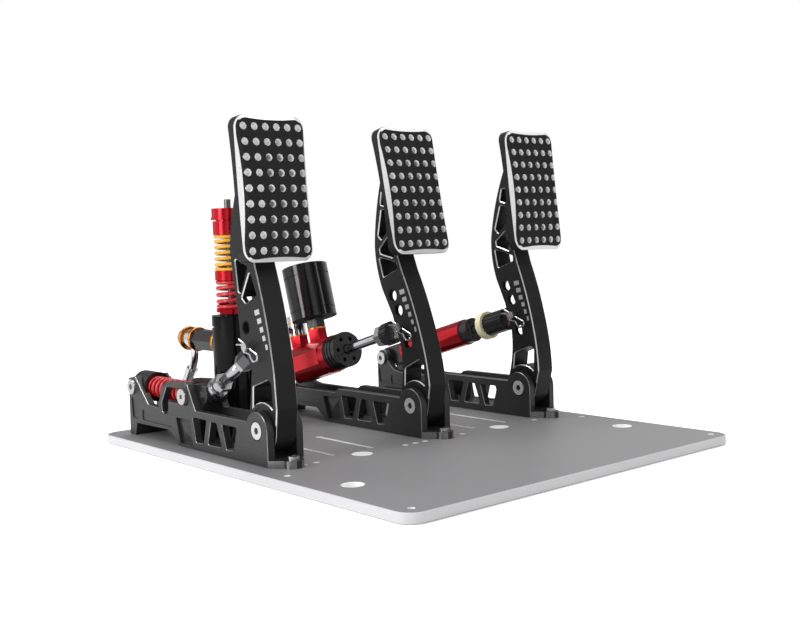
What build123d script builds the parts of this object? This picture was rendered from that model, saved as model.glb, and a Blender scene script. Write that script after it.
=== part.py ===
"""Sim racing pedal set: clutch, brake and throttle pedals standing on one base plate.

Lengths are in millimetres. X runs to the driver's right, Y away from the driver and Z up, and the
origin is on the floor under the middle of the plate. Side outlines are drawn about each pedal's
pivot, with the first number away from the driver and the second number up.
"""

import os
from math import cos, hypot, pi, radians, sin, sqrt

from build123d import *

os.makedirs("parts", exist_ok=True)

# Fits shared by all pieces
overrun = 20.0
running_clearance = 0.05
slide_clearance = 0.5
tube_sides = 6
seat_clearance = 0.02

# Base plate
plate_width = 362.0
plate_depth = 436.0
plate_thickness = 8.0
plate_corner_radius = 14.5
plate_edge_chamfer = 0.8
mount_spacing_x = 336.0
mount_spacing_y = 140.0
mount_inset_y = 13.0
plate_hole_radius = 2.75
big_hole_radius = 8.75
outer_big_hole_x = 152.5
outer_big_hole_y = -124.2
inner_big_hole_x = 79.3
inner_big_hole_y = -43.3
foot_hole_pitch = 11.0
slot_width = 4.0
slot_front_y = -31.0
slot_rear_y = 44.0
slot_end_hole_radius = 3.25
slot_spacing = 40.0

# Pedal bases
pivot_y = -18.0
pivot_rise = 27.4
pivot_z = plate_thickness + pivot_rise
clutch_x = -146.2
brake_x = 11.9
throttle_x = 148.85
base_width = 34.0
wall = 6.5
base_front = 15.0
base_length = 228.7
base_height = 56.4
floor_thickness = 6.5
base_edge_chamfer = 0.5
corner_round = 1.5
foot_nose_radius = 8.5
foot_screw_reach = 24.5
foot_thickness = 5.8
name_recess_depth = 0.8
rear_recess_depth = 1.0
pocket_depth = 3.0
pocket_rise = 2.4
floor_screw_front = 36.0
floor_screw_rear = 100.0
post_radius = 9.0

# Pedal arms
arm_width = 20.0
arm_depth = 50.0
arm_height = 214.0
arm_edge_chamfer = 0.8
throttle_lean = 0.081
side_recess_radius = 17.8
side_recess_depth = 0.6
arm_hole_radius = 5.0
toe_round = 6.0
ledge_round = 2.0

# Pedal pads
pad_width = 64.0
pad_height = 112.0
pad_thickness = 10.0
pad_corner_radius = 10.0
pad_curve_radius = 490.0
pad_hole_radius = 3.0
pad_hole_pitch_x = 10.0
pad_hole_pitch_y = 11.74
pad_columns = 6
pad_rows = 9
pad_hole_sides = 8
bevel_side_inset = 5.5
bevel_corner_inset = 4.5
bevel_end_inset = 6.6
bevel_round = 8.0
bevel_depth = 8.0
seat_low = 49.0
seat_high = 26.0

# Bolts, pins and clips
pivot_bolt_radius = 6.0
pivot_head_radius = 6.9
pivot_head_height = 3.5
counterbore_radius = 7.7
thread_radius = 4.0
nut_radius = 6.8
socket_radius = 3.0
socket_depth = 2.2
rear_bolt_radius = 4.0
rear_head_radius = 6.8
rear_head_height = 2.8
screw_radius = 2.7
screw_head_radius = 4.8
screw_head_height = 3.0
screw_tip_gap = 0.5
pin_radius = 3.6
pin_reach = 7.0
pin_head_radius = 5.5
pin_head_height = 2.0
clip_offset = 3.8
clip_bend_radius = 1.8
clip_wire_radius = 0.8

# Push rods
tongue_width = 10.0
tongue_half_height = 6.8
eye_radius = 8.0

# Side outlines, as shares of base_length from the front and base_height from the plate
clutch_rear_shares = [
    (0.470, 0.592), (0.523, 0.970), (0.540, 1.000), (0.680, 0.970), (0.719, 0.879),
    (0.758, 0.532), (0.833, 0.544), (0.938, 0.972), (0.992, 0.924), (1.000, 0.000),
]
plain_rear_shares = [
    (0.514, 0.592), (0.540, 0.523), (0.818, 0.523), (0.866, 0.560), (0.892, 0.645),
    (0.925, 0.800),
]
arch_shares = [(0.957, 0.000), (0.942, 0.200), (0.669, 0.216), (0.599, 0.000)]
window_shares = [
    [(0.494, 0.486), (0.394, 0.486), (0.421, 0.126), (0.474, 0.117)],
    [(0.365, 0.475), (0.326, 0.473), (0.293, 0.131), (0.390, 0.126)],
    [(0.289, 0.473), (0.190, 0.472), (0.215, 0.131), (0.262, 0.117)],
]
pocket_shares = [(0.617, 0.436), (0.511, 0.447), (0.497, 0.067), (0.589, 0.050)]
name_recess_shares = [(0.887, 0.443), (0.885, 0.277), (0.650, 0.268), (0.651, 0.463)]
clutch_rear_recess_shares = [(0.976, 0.652), (0.970, 0.285), (0.923, 0.282), (0.924, 0.496)]
plain_rear_recess_shares = [(0.979, 0.617), (0.971, 0.291), (0.906, 0.289)]
hook_shares = [
    (0.683, 0.881), (0.540, 0.894), (0.5256, 0.805), (0.5256, 0.658), (0.675, 0.658),
    (0.676, 0.548), (0.684, 0.468), (0.704, 0.443), (0.722, 0.486), (0.726, 0.628),
]
shelf_share = 0.592
floor_step_shares = [(0.582, 0.115), (0.634, 0.335)]
rear_post_share = (0.9467, 0.7606)
cup_bolt_share = (0.954, 0.796)
spring_axis_share = 0.782

# Arm outlines, as shares of arm_depth and arm_height. Odd places on a curve are arc mid-points.
plain_front_shares = [
    (-0.292, -0.030), (-0.380, 0.084), (-0.336, 0.154), (-0.260, 0.231), (-0.052, 0.379),
    (0.276, 0.551), (0.392, 0.621),
]
plain_back_shares = [
    (0.660, 1.000), (0.892, 0.832), (1.002, 0.648), (0.956, 0.561), (0.820, 0.466),
    (0.570, 0.364), (0.372, 0.248), (0.330, 0.145), (0.390, 0.037), (0.390, 0.000),
]
clutch_front_shares = [
    (-0.328, -0.023), (-0.384, 0.082), (-0.364, 0.145), (-0.348, 0.210), (-0.220, 0.368),
    (0.066, 0.596), (0.092, 0.621),
]
clutch_back_shares = [
    (0.240, 1.000), (0.660, 0.794), (0.780, 0.654), (0.696, 0.533), (0.620, 0.430),
    (0.570, 0.327), (0.280, 0.215), (0.334, 0.130), (0.396, 0.047), (0.396, 0.000),
]
heel_share = (0.060, -0.087)
plain_window_shares = [
    [(0.884, 0.601), (0.410, 0.581), (0.396, 0.557), (0.776, 0.519)],
    [(0.614, 0.689), (0.860, 0.636), (0.836, 0.617), (0.456, 0.598)],
    [(0.780, 0.801), (0.892, 0.692), (0.800, 0.674), (0.596, 0.722), (0.630, 0.794)],
    [(0.760, 0.874), (0.800, 0.820), (0.630, 0.811), (0.620, 0.874)],
]
plain_hole_shares = [(0.540, 0.443), (0.392, 0.383), (0.164, 0.253)]
plain_pin_share = (0.274, 0.318)
plain_low_window_shares = [(0.250, 0.146), (-0.140, 0.189), (-0.226, 0.178), (-0.244, 0.086),
                           (-0.180, 0.065), (0.270, 0.065)]
clutch_window_shares = [
    [(0.636, 0.623), (0.284, 0.595), (0.512, 0.495), (0.572, 0.502)],
    [(0.226, 0.577), (0.056, 0.490), (0.376, 0.460), (0.480, 0.479)],
]
clutch_hole_shares = [(0.394, 0.369)]
clutch_pin_share = (0.260, 0.303)
clutch_low_window_shares = [(0.250, 0.153), (-0.170, 0.185), (-0.254, 0.171), (-0.272, 0.084),
                            (-0.180, 0.065), (0.280, 0.065)]
fork_slot_shares = [(1.600, 0.200), (0.140, 0.200), (0.020, 0.275), (0.080, 0.360),
                    (0.380, 0.482), (1.600, 0.482)]
pivot_land_radius = 21.6


def side(x):
    """The side view at x, drawn about the pedal's pivot."""
    return Plane(origin=(x, pivot_y, pivot_z), x_dir=(0, 1, 0), z_dir=(1, 0, 0))


def place(x, point):
    """A side-view point as a place in the room."""
    return (x, pivot_y + point[0], pivot_z + point[1])


def axis_plane(x, start, end):
    """A plane at start, across the line that runs to end, both in the side view."""
    run, rise = end[0] - start[0], end[1] - start[1]
    span = hypot(run, rise)
    return Plane(origin=place(x, start), x_dir=(1, 0, 0), z_dir=(0, run / span, rise / span))


def along(start, end, distance, lift=0.0):
    """The side-view point this far from start towards end, lifted square to that line."""
    run, rise = end[0] - start[0], end[1] - start[1]
    span = hypot(run, rise)
    return (start[0] + (run * distance - rise * lift) / span,
            start[1] + (rise * distance + run * lift) / span)


def base_point(share):
    return (share[0] * base_length - base_front, share[1] * base_height - pivot_rise)


def arm_point(share):
    return (share[0] * arm_depth, share[1] * arm_height)


def turn(point, angle):
    return (point[0] * cos(angle) - point[1] * sin(angle),
            point[0] * sin(angle) + point[1] * cos(angle))


def save(part, name):
    part.label = name
    export_step(part, f"parts/{name}.step")


def trace(start, steps):
    """Draws an outline: a step of one point is a line, one of two an arc through the first."""
    here = start
    for step in steps:
        if len(step) == 1:
            Line(here, step[0])
        else:
            ThreePointArc(here, step[0], step[1])
        here = step[-1]


def bevel_sides(piece, size):
    """Bevels the outlines of the piece's two side faces, one outline at a time."""
    for end in (0, -1):
        outlines = len(piece.faces().sort_by(Axis.X)[end].wires())
        for index in range(outlines):
            face = piece.faces().sort_by(Axis.X)[end]
            chamfer(face.wires().sort_by(Axis.Z)[index].edges(), size)


def turned(plane, stack, bores=()):
    """A turned piece: discs of (start, end, radius) along the plane's normal, less its bores."""
    with BuildPart() as piece:
        for start, end, radius in stack:
            with BuildSketch(plane.offset(start)):
                Circle(radius)
            extrude(amount=end - start)
        for start, end, radius in bores:
            with BuildSketch(plane.offset(start)):
                Circle(radius)
            extrude(amount=end - start, mode=Mode.SUBTRACT)
    return piece.part


def hexagon(plane, start, end, radius, bore=0.0):
    """A hexagonal piece along the plane's normal, with a round bore where one is given."""
    with BuildPart() as piece:
        with BuildSketch(plane.offset(start)):
            RegularPolygon(radius, 6)
            if bore:
                Circle(bore, mode=Mode.SUBTRACT)
        extrude(amount=end - start)
    return piece.part


# Mechanism points in the side view
brake_pin = arm_point(plain_pin_share)
throttle_pin = turn(brake_pin, throttle_lean)
clutch_pin = arm_point(clutch_pin_share)
rear_pin = base_point(rear_post_share)
cup_bolt = base_point(cup_bolt_share)
spring_z = base_point((0.0, spring_axis_share))[1]
plate_level = -pivot_rise
floor_level = plate_level + floor_thickness
shelf_level = base_point((0.0, shelf_share))[1]

# Clutch linkage: a fixed link from the arm to a slider that runs along the base
link_length = 92.0
link_end_z = 19.0
link_end = (
    clutch_pin[0] + sqrt(link_length**2 - (clutch_pin[1] - link_end_z) ** 2),
    link_end_z,
)


# Base plate

with BuildPart() as base_plate:
    with BuildSketch():
        RectangleRounded(plate_width, plate_depth, plate_corner_radius)
    extrude(amount=plate_thickness)
    plate_rims = base_plate.edges().group_by(Axis.Z)
    chamfer(plate_rims[0] + plate_rims[-1], plate_edge_chamfer)
    mount_y = mount_inset_y + (mount_spacing_y - plate_depth) / 2
    with BuildSketch():
        with Locations((0, mount_y)):
            with GridLocations(mount_spacing_x, mount_spacing_y, 2, 2):
                Circle(plate_hole_radius)
        foot_row_y = pivot_y - foot_screw_reach
        foot_rows = [(clutch_x, (0, 1, 2)), (brake_x, (-4, -3, -2, 0, 1, 2)), (throttle_x, (-2, 0, 1))]
        for pedal_x, steps in foot_rows:
            with Locations([(pedal_x + step * foot_hole_pitch, foot_row_y) for step in steps]):
                Circle(plate_hole_radius)
        for pedal_x in (clutch_x, brake_x, throttle_x):
            with Locations((pedal_x, pivot_y + floor_screw_front), (pedal_x, pivot_y + floor_screw_rear)):
                Circle(plate_hole_radius)
        with Locations((-outer_big_hole_x, outer_big_hole_y), (outer_big_hole_x, outer_big_hole_y),
                       (-inner_big_hole_x, inner_big_hole_y), (inner_big_hole_x, inner_big_hole_y)):
            Circle(big_hole_radius)
        slot_middles = ((clutch_x + brake_x) / 2 - foot_hole_pitch, (brake_x + throttle_x) / 2)
        for middle in slot_middles:
            for slot_x in (middle - slot_spacing / 2, middle + slot_spacing / 2):
                with Locations((slot_x, (slot_front_y + slot_rear_y) / 2)):
                    SlotOverall(slot_rear_y - slot_front_y, slot_width, rotation=90)
                with Locations((slot_x, slot_rear_y)):
                    Circle(slot_end_hole_radius)
    extrude(amount=plate_thickness, mode=Mode.SUBTRACT)
save(base_plate.part, "base_plate")


# Pedal bases: two walls, a floor between them and a foot in front, in one piece

def pedal_base(x, rear_shares, rear_recess_shares):
    left = side(x - base_width / 2)
    corners = [base_point(share) for share in rear_shares]
    if rear_shares is plain_rear_shares:
        post_back = rear_pin[0] + post_radius
        corners += [rear_pin, (post_back, rear_pin[1]), (post_back, plate_level)]
    corners += [base_point(share) for share in arch_shares]
    with BuildPart() as base:
        with BuildSketch(left) as profile:
            with BuildLine():
                Polyline(
                    (-base_front, plate_level), (-base_front, 0), (0, shelf_level), *corners,
                    close=True)
            make_face()
            fillet([v for v in profile.vertices() if v.Y > plate_level + corner_round
                    and 0 < v.X < rear_pin[0]], corner_round)
            Circle(base_front)
            if rear_shares is plain_rear_shares:
                with Locations(rear_pin):
                    Circle(post_radius)
        extrude(amount=base_width)
        with BuildSketch(left):
            for shares in window_shares:
                with BuildLine():
                    FilletPolyline(*[base_point(share) for share in shares],
                                   radius=corner_round, close=True)
                make_face()
            if rear_shares is clutch_rear_shares:
                with BuildLine():
                    FilletPolyline(*[base_point(share) for share in hook_shares],
                                   radius=corner_round, close=True)
                make_face()
        extrude(amount=base_width, mode=Mode.SUBTRACT)
        bevel_sides(base, base_edge_chamfer)
        with BuildSketch(left.offset(wall)):
            step_low, step_high = [base_point(share) for share in floor_step_shares]
            with BuildLine():
                Polyline(
                    (-base_front - overrun, floor_level), (step_low[0], floor_level), step_high,
                    (base_length + overrun, step_high[1]), (base_length + overrun, base_height),
                    (-base_front - overrun, base_height), close=True)
            make_face()
        extrude(amount=base_width - 2 * wall, mode=Mode.SUBTRACT)
        for wall_plane, depth_sign in ((left, 1), (left.offset(base_width), -1)):
            with BuildSketch(wall_plane):
                with BuildLine():
                    FilletPolyline(*[base_point(share) for share in name_recess_shares],
                                   radius=corner_round, close=True)
                make_face()
            extrude(amount=depth_sign * name_recess_depth, mode=Mode.SUBTRACT)
            with BuildSketch(wall_plane):
                with BuildLine():
                    FilletPolyline(*[base_point(share) for share in rear_recess_shares],
                                   radius=corner_round, close=True)
                make_face()
            extrude(amount=depth_sign * rear_recess_depth, mode=Mode.SUBTRACT)
            pocket = [base_point(share) for share in pocket_shares]
            middle = (sum(p[0] for p in pocket) / len(pocket), sum(p[1] for p in pocket) / len(pocket))
            with BuildSketch(wall_plane):
                with BuildLine():
                    Polyline(*pocket, close=True)
                make_face()
            extrude(amount=depth_sign * pocket_depth, mode=Mode.SUBTRACT)
            pyramid_base_share, pyramid_top_share = 0.86, 0.12
            for share, level in ((pyramid_base_share, pocket_depth),
                                 (pyramid_top_share, pocket_depth - pocket_rise)):
                with BuildSketch(wall_plane.offset(depth_sign * level)):
                    with BuildLine():
                        Polyline(*[(middle[0] + (p[0] - middle[0]) * share,
                                    middle[1] + (p[1] - middle[1]) * share) for p in pocket],
                                 close=True)
                    make_face()
            loft(ruled=True)
            with BuildSketch(wall_plane):
                Circle(counterbore_radius)
            extrude(amount=depth_sign * pivot_head_height, mode=Mode.SUBTRACT)
        with BuildSketch(left):
            Circle(pivot_bolt_radius + running_clearance)
            with Locations(rear_pin if rear_shares is plain_rear_shares else cup_bolt):
                Circle(rear_bolt_radius + running_clearance)
        extrude(amount=base_width, mode=Mode.SUBTRACT)
        with BuildSketch(Plane.XY.offset(plate_thickness)):
            foot_y, nose_y = pivot_y - base_front, pivot_y - foot_screw_reach
            with BuildLine():
                Polyline((x - base_width / 2, foot_y), (x - foot_nose_radius, nose_y),
                         (x + foot_nose_radius, nose_y), (x + base_width / 2, foot_y), close=True)
            make_face()
            with Locations((x, pivot_y - foot_screw_reach)):
                Circle(foot_nose_radius)
        extrude(amount=foot_thickness)
        with BuildSketch(Plane.XY.offset(plate_thickness)):
            with Locations((x, pivot_y - foot_screw_reach), (x, pivot_y + floor_screw_front),
                           (x, pivot_y + floor_screw_rear)):
                Circle(plate_hole_radius)
        extrude(amount=floor_thickness, mode=Mode.SUBTRACT)
        if rear_shares is clutch_rear_shares:
            cup_plane = axis_plane(x, (cup_front, spring_z), (cup_rear, spring_z))
            with BuildSketch(cup_plane.offset(-cup_relief)):
                Circle(cup_radius + slide_clearance)
            extrude(amount=cup_rear - cup_front + cup_relief + overrun, mode=Mode.SUBTRACT)
    return base.part


# Clutch spring and its seats, as distances from the pivot
cup_front = 188.0
cup_rear = 212.5
cup_radius = 13.5
cup_relief = 3.0
cup_seat_depth = 9.0
cup_bore = 10.4
slider_nose_radius = 8.8
slider_rear = 121.0
slider_foot_z = 9.0
slider_top_z = 25.0
slider_width = 20.0
slider_fork_rear = 103.5
spring_seat_radius = 9.8
spring_seat_thickness = 3.0
guide_rod_radius = 4.0
guide_rod_length = 52.0
clutch_spring_radius = 8.4
clutch_spring_wire = 1.5
clutch_spring_turns = 13
stop_pin_y = 111.0
stop_pin_radius = 3.0
stop_roller_radius = 5.4
stop_head_radius = 6.8
stop_head_height = 2.6
link_pin_radius = 3.0
link_pin_clearance = 0.6
link_eye_width = 8.0

save(pedal_base(clutch_x, clutch_rear_shares, clutch_rear_recess_shares), "clutch_base")
save(pedal_base(brake_x, plain_rear_shares, plain_rear_recess_shares), "brake_base")
save(pedal_base(throttle_x, plain_rear_shares, plain_rear_recess_shares), "throttle_base")


# Pads

def shell_point(apex, tilt, inset, reach):
    """A point of the pad's section, this far under its face and along it from the middle."""
    angle = tilt + reach / pad_curve_radius
    radius = pad_curve_radius - inset
    centre = (apex[0] + pad_curve_radius * cos(tilt), apex[1] - pad_curve_radius * sin(tilt))
    return (centre[0] - radius * cos(angle), centre[1] + radius * sin(angle))


def hourglass(grow):
    """The edge of the pad's flat face: a rectangle whose sides draw in at their middles."""
    corner_x = pad_width / 2 - bevel_corner_inset + grow
    corner_y = pad_height / 2 - bevel_corner_inset + grow
    side_x = pad_width / 2 - bevel_side_inset + grow
    end_y = pad_height / 2 - bevel_end_inset + grow
    with BuildSketch(mode=Mode.PRIVATE) as outline:
        with BuildLine():
            trace((corner_x, corner_y), [
                ((0, end_y), (-corner_x, corner_y)), ((-side_x, 0), (-corner_x, -corner_y)),
                ((0, -end_y), (corner_x, -corner_y)), ((side_x, 0), (corner_x, corner_y))])
        make_face()
        fillet(outline.vertices(), bevel_round)
    return outline.sketch


def pedal_pad(arm_plane, apex, tilt):
    face_plane = Plane(
        origin=arm_plane.from_local_coords((apex[0], apex[1], arm_width / 2)),
        x_dir=(1, 0, 0),
        z_dir=arm_plane.y_dir * sin(tilt) - arm_plane.x_dir * cos(tilt))
    half = pad_height / 2
    with BuildPart() as bevelled:
        with BuildSketch(face_plane):
            add(hourglass(0.0))
        with BuildSketch(face_plane.offset(-bevel_depth)):
            add(hourglass(bevel_depth))
        loft(ruled=True)
        with BuildSketch(face_plane.offset(-bevel_depth)):
            Rectangle(pad_width + overrun, pad_height + overrun)
        extrude(amount=-overrun)
    with BuildPart() as pad:
        with BuildSketch(arm_plane.offset((arm_width - pad_width) / 2)):
            with BuildLine():
                trace(shell_point(apex, tilt, 0, -half), [
                    (apex, shell_point(apex, tilt, 0, half)),
                    (shell_point(apex, tilt, pad_thickness, half),),
                    (shell_point(apex, tilt, pad_thickness, 0),
                     shell_point(apex, tilt, pad_thickness, -half)),
                    (shell_point(apex, tilt, 0, -half),)])
            make_face()
        extrude(amount=pad_width)
        with BuildSketch(face_plane.offset(-overrun)):
            RectangleRounded(pad_width, pad_height, pad_corner_radius)
        extrude(amount=2 * overrun, mode=Mode.INTERSECT)
        add(bevelled.part, mode=Mode.INTERSECT)
        with BuildSketch(face_plane.offset(-overrun)):
            with GridLocations(pad_hole_pitch_x, pad_hole_pitch_y, pad_columns, pad_rows):
                RegularPolygon(pad_hole_radius, pad_hole_sides)
        extrude(amount=2 * overrun, mode=Mode.SUBTRACT)
    return pad.part


# Arms

def pedal_arm(arm_plane, front_shares, back_shares, windows, low_window, holes, pin, apex, tilt):
    front = [arm_point(share) for share in front_shares]
    back = [arm_point(share) for share in back_shares]
    seat_inset = pad_thickness + seat_clearance
    with BuildPart() as arm:
        with BuildSketch(arm_plane) as outline:
            with BuildLine():
                trace(front[0], [
                    (front[1],), (front[2], front[3]), (front[4], front[5]), (front[6],),
                    (shell_point(apex, tilt, seat_inset, -seat_low),),
                    (shell_point(apex, tilt, seat_inset, 0),
                     shell_point(apex, tilt, seat_inset, seat_high)),
                    (back[0],), (back[1], back[2]), (back[3], back[4]), (back[5],), (back[6],),
                    (back[7], back[8]), (back[9],), (arm_point(heel_share), front[0])])
            make_face()
            fillet(outline.vertices().sort_by_distance((*front[0], 0))[0], toe_round)
            fillet(outline.vertices().sort_by_distance((*front[6], 0))[0], ledge_round)
        extrude(amount=arm_width)
        with BuildSketch(arm_plane):
            for shares in windows:
                with BuildLine():
                    FilletPolyline(*[arm_point(share) for share in shares],
                                   radius=corner_round, close=True)
                make_face()
            with Locations([arm_point(share) for share in holes]):
                Circle(arm_hole_radius)
        extrude(amount=arm_width, mode=Mode.SUBTRACT)
        with BuildSketch(arm_plane):
            with BuildLine():
                FilletPolyline(*[arm_point(share) for share in low_window],
                               radius=corner_round, close=True)
            make_face()
            Circle(pivot_land_radius, mode=Mode.SUBTRACT)
        extrude(amount=arm_width, mode=Mode.SUBTRACT)
        bevel_sides(arm, arm_edge_chamfer)
        for face_plane, depth_sign in ((arm_plane, 1), (arm_plane.offset(arm_width), -1)):
            with BuildSketch(face_plane):
                Circle(side_recess_radius)
            extrude(amount=depth_sign * side_recess_depth, mode=Mode.SUBTRACT)
        with BuildSketch(arm_plane):
            Circle(pivot_bolt_radius + running_clearance)
            with Locations(pin):
                Circle(pin_radius + running_clearance)
        extrude(amount=arm_width, mode=Mode.SUBTRACT)
        with BuildSketch(arm_plane.offset((arm_width - tongue_width) / 2 - running_clearance * 4)):
            with BuildLine():
                Polyline(*[arm_point(share) for share in fork_slot_shares], close=True)
            make_face()
        extrude(amount=tongue_width + running_clearance * 8, mode=Mode.SUBTRACT)
    return arm.part


def arm_side(x, lean=0.0):
    """The side view of an arm at its own angle, leant towards the driver."""
    return Plane(origin=(x - arm_width / 2, pivot_y, pivot_z),
                 x_dir=(0, cos(lean), sin(lean)), z_dir=(1, 0, 0))


plain_apex_share = (0.023, 0.875)
clutch_apex_share = (-0.347, 0.871)
plain_apex = arm_point(plain_apex_share)
clutch_apex = arm_point(clutch_apex_share)
plain_tilt = 0.190
clutch_tilt = 0.069
clutch_side = arm_side(clutch_x)
brake_side = arm_side(brake_x)
throttle_side = arm_side(throttle_x, throttle_lean)

save(pedal_arm(clutch_side, clutch_front_shares, clutch_back_shares, clutch_window_shares,
               clutch_low_window_shares, clutch_hole_shares, clutch_pin, clutch_apex, clutch_tilt),
     "clutch_arm")
for name, plane in (("brake", brake_side), ("throttle", throttle_side)):
    save(pedal_arm(plane, plain_front_shares, plain_back_shares, plain_window_shares,
                   plain_low_window_shares, plain_hole_shares, brake_pin, plain_apex, plain_tilt),
         f"{name}_arm")
save(pedal_pad(clutch_side, clutch_apex, clutch_tilt), "clutch_pad")
save(pedal_pad(brake_side, plain_apex, plain_tilt), "brake_pad")
save(pedal_pad(throttle_side, plain_apex, plain_tilt), "throttle_pad")


# Pins and their spring clips. The clip's route is drawn about the pin, in the side view.
clip_points = [
    (11.3, 5.0), (-6.0, -2.65), (-10.5, -4.3), (-14.6, -6.2), (-13.5, -10.2), (-8.2, -11.6),
    (-5.2, -8.8), (-3.5, -5.7), (0.5, -5.1), (4.8, -4.6), (5.6, -1.0), (8.5, 1.0), (15.0, 0.7),
]


def pedal_pin(x, point):
    """The pin that joins a rod to its arm, headed on the right and holed for its clip."""
    leg = axis_plane(x - arm_width / 2 - clip_offset, point,
                     (point[0] + clip_points[0][0], point[1] + clip_points[0][1]))
    with BuildPart() as pin:
        with BuildSketch(side(x - arm_width / 2 - pin_reach)):
            with Locations(point):
                Circle(pin_radius)
        extrude(amount=pin_reach + arm_width)
        with BuildSketch(side(x + arm_width / 2)):
            with Locations(point):
                Circle(pin_head_radius)
        extrude(amount=pin_head_height)
        with BuildSketch(leg.offset(-overrun)):
            Circle(clip_wire_radius + 3 * running_clearance)
        extrude(amount=2 * overrun, mode=Mode.SUBTRACT)
    return pin.part


def pin_clip(x, point):
    """A hairpin clip: one straight leg through the pin, a loop and a waved leg under it."""
    clip_x = x - arm_width / 2 - clip_offset
    places = [Vector(place(clip_x, (point[0] + y, point[1] + z))) for y, z in clip_points]
    with BuildPart() as clip:
        with BuildLine() as route:
            FilletPolyline(*places, radius=clip_bend_radius)
        with BuildSketch(Plane(origin=route.line @ 0, z_dir=route.line % 0)):
            RegularPolygon(clip_wire_radius, tube_sides)
        sweep(path=route.line)
    return clip.part


for name, x, point in (("clutch", clutch_x, clutch_pin), ("brake", brake_x, brake_pin),
                       ("throttle", throttle_x, throttle_pin)):
    save(pedal_pin(x, point), f"{name}_pin")
    save(pin_clip(x, point), f"{name}_clip")


# Pivot bolts, nuts and screws, one node for each kind

with BuildPart() as pivot_bolts:
    for x in (clutch_x, brake_x, throttle_x):
        head = side(x - base_width / 2)
        with BuildSketch(head):
            Circle(pivot_head_radius)
            RegularPolygon(socket_radius, 6, mode=Mode.SUBTRACT)
        extrude(amount=socket_depth)
        with BuildSketch(head.offset(socket_depth)):
            Circle(pivot_head_radius)
        extrude(amount=pivot_head_height - socket_depth)
        with BuildSketch(head.offset(pivot_head_height)):
            Circle(pivot_bolt_radius)
        extrude(amount=base_width - 2 * pivot_head_height)
        with BuildSketch(head.offset(base_width - pivot_head_height)):
            Circle(thread_radius)
        extrude(amount=pivot_head_height)
save(pivot_bolts.part, "pivot_bolts")

with BuildPart() as pivot_nuts:
    for x in (clutch_x, brake_x, throttle_x):
        with BuildSketch(side(x + base_width / 2 - pivot_head_height)):
            RegularPolygon(nut_radius, 6)
            Circle(thread_radius + running_clearance, mode=Mode.SUBTRACT)
        extrude(amount=pivot_head_height)
save(pivot_nuts.part, "pivot_nuts")

rear_bolt_places = [(clutch_x, cup_bolt), (brake_x, rear_pin), (throttle_x, rear_pin)]
with BuildPart() as rear_bolts:
    for x, point in rear_bolt_places:
        face = side(x - base_width / 2)
        with BuildSketch(face.offset(-rear_head_height)):
            with Locations(point):
                Circle(rear_head_radius)
                RegularPolygon(socket_radius, 6, mode=Mode.SUBTRACT)
        extrude(amount=socket_depth)
        with BuildSketch(face.offset(socket_depth - rear_head_height)):
            with Locations(point):
                Circle(rear_head_radius)
        extrude(amount=rear_head_height - socket_depth)
        with BuildSketch(face):
            with Locations(point):
                Circle(rear_bolt_radius)
        extrude(amount=base_width + rear_head_height)
save(rear_bolts.part, "rear_bolts")

with BuildPart() as rear_nuts:
    for x, point in rear_bolt_places:
        with BuildSketch(side(x + base_width / 2)):
            with Locations(point):
                RegularPolygon(nut_radius, 6)
                Circle(rear_bolt_radius + running_clearance, mode=Mode.SUBTRACT)
        extrude(amount=rear_head_height)
save(rear_nuts.part, "rear_nuts")


def floor_screws(places, seat_height):
    """Screws that stand on a seat this far above the plate and end inside the plate."""
    with BuildPart() as screws:
        for x, y in places:
            with BuildSketch(Plane.XY.offset(screw_tip_gap)):
                with Locations((x, y)):
                    Circle(screw_radius)
            extrude(amount=plate_thickness + seat_height - screw_tip_gap)
            with BuildSketch(Plane.XY.offset(plate_thickness + seat_height)):
                with Locations((x, y)):
                    Circle(screw_head_radius)
            extrude(amount=screw_head_height - socket_depth)
            top = plate_thickness + seat_height + screw_head_height
            with BuildSketch(Plane.XY.offset(top - socket_depth)):
                with Locations((x, y)):
                    Circle(screw_head_radius)
                    RegularPolygon(socket_radius - socket_depth / 3, 6, mode=Mode.SUBTRACT)
            extrude(amount=socket_depth)
    return screws.part


pedal_rows = (clutch_x, brake_x, throttle_x)
save(floor_screws([(x, pivot_y - foot_screw_reach) for x in pedal_rows], foot_thickness),
     "foot_screws")
save(floor_screws([(x, pivot_y + reach) for x in pedal_rows
                   for reach in (floor_screw_front, floor_screw_rear)], floor_thickness),
     "floor_screws")


# Push rods: a tongue on the arm's pin, then turned pieces along the rod

def rod_tongue(x, pin, target, length, width, pin_bore, half_height=tongue_half_height):
    """A flat tongue round the pin, this long towards the target."""
    plane = axis_plane(x, pin, target)
    with BuildPart() as tongue:
        with BuildSketch(side(x - width / 2)):
            with Locations(pin):
                Circle(eye_radius)
        extrude(amount=width)
        with BuildSketch(plane):
            Rectangle(width, 2 * half_height)
        extrude(amount=length)
        with BuildSketch(side(x - width / 2)):
            with Locations(pin):
                Circle(pin_bore)
        extrude(amount=width, mode=Mode.SUBTRACT)
    return tongue.part


def ribbed(plane, start, end, radius, bore, ribs, rib_depth):
    """A grip of this radius with grooves worked round it."""
    with BuildPart() as grip:
        with BuildSketch(plane.offset(start)):
            Circle(radius)
            with PolarLocations(radius, ribs):
                Circle(rib_depth, mode=Mode.SUBTRACT)
            if bore:
                Circle(bore, mode=Mode.SUBTRACT)
        extrude(amount=end - start)
    return grip.part


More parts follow.
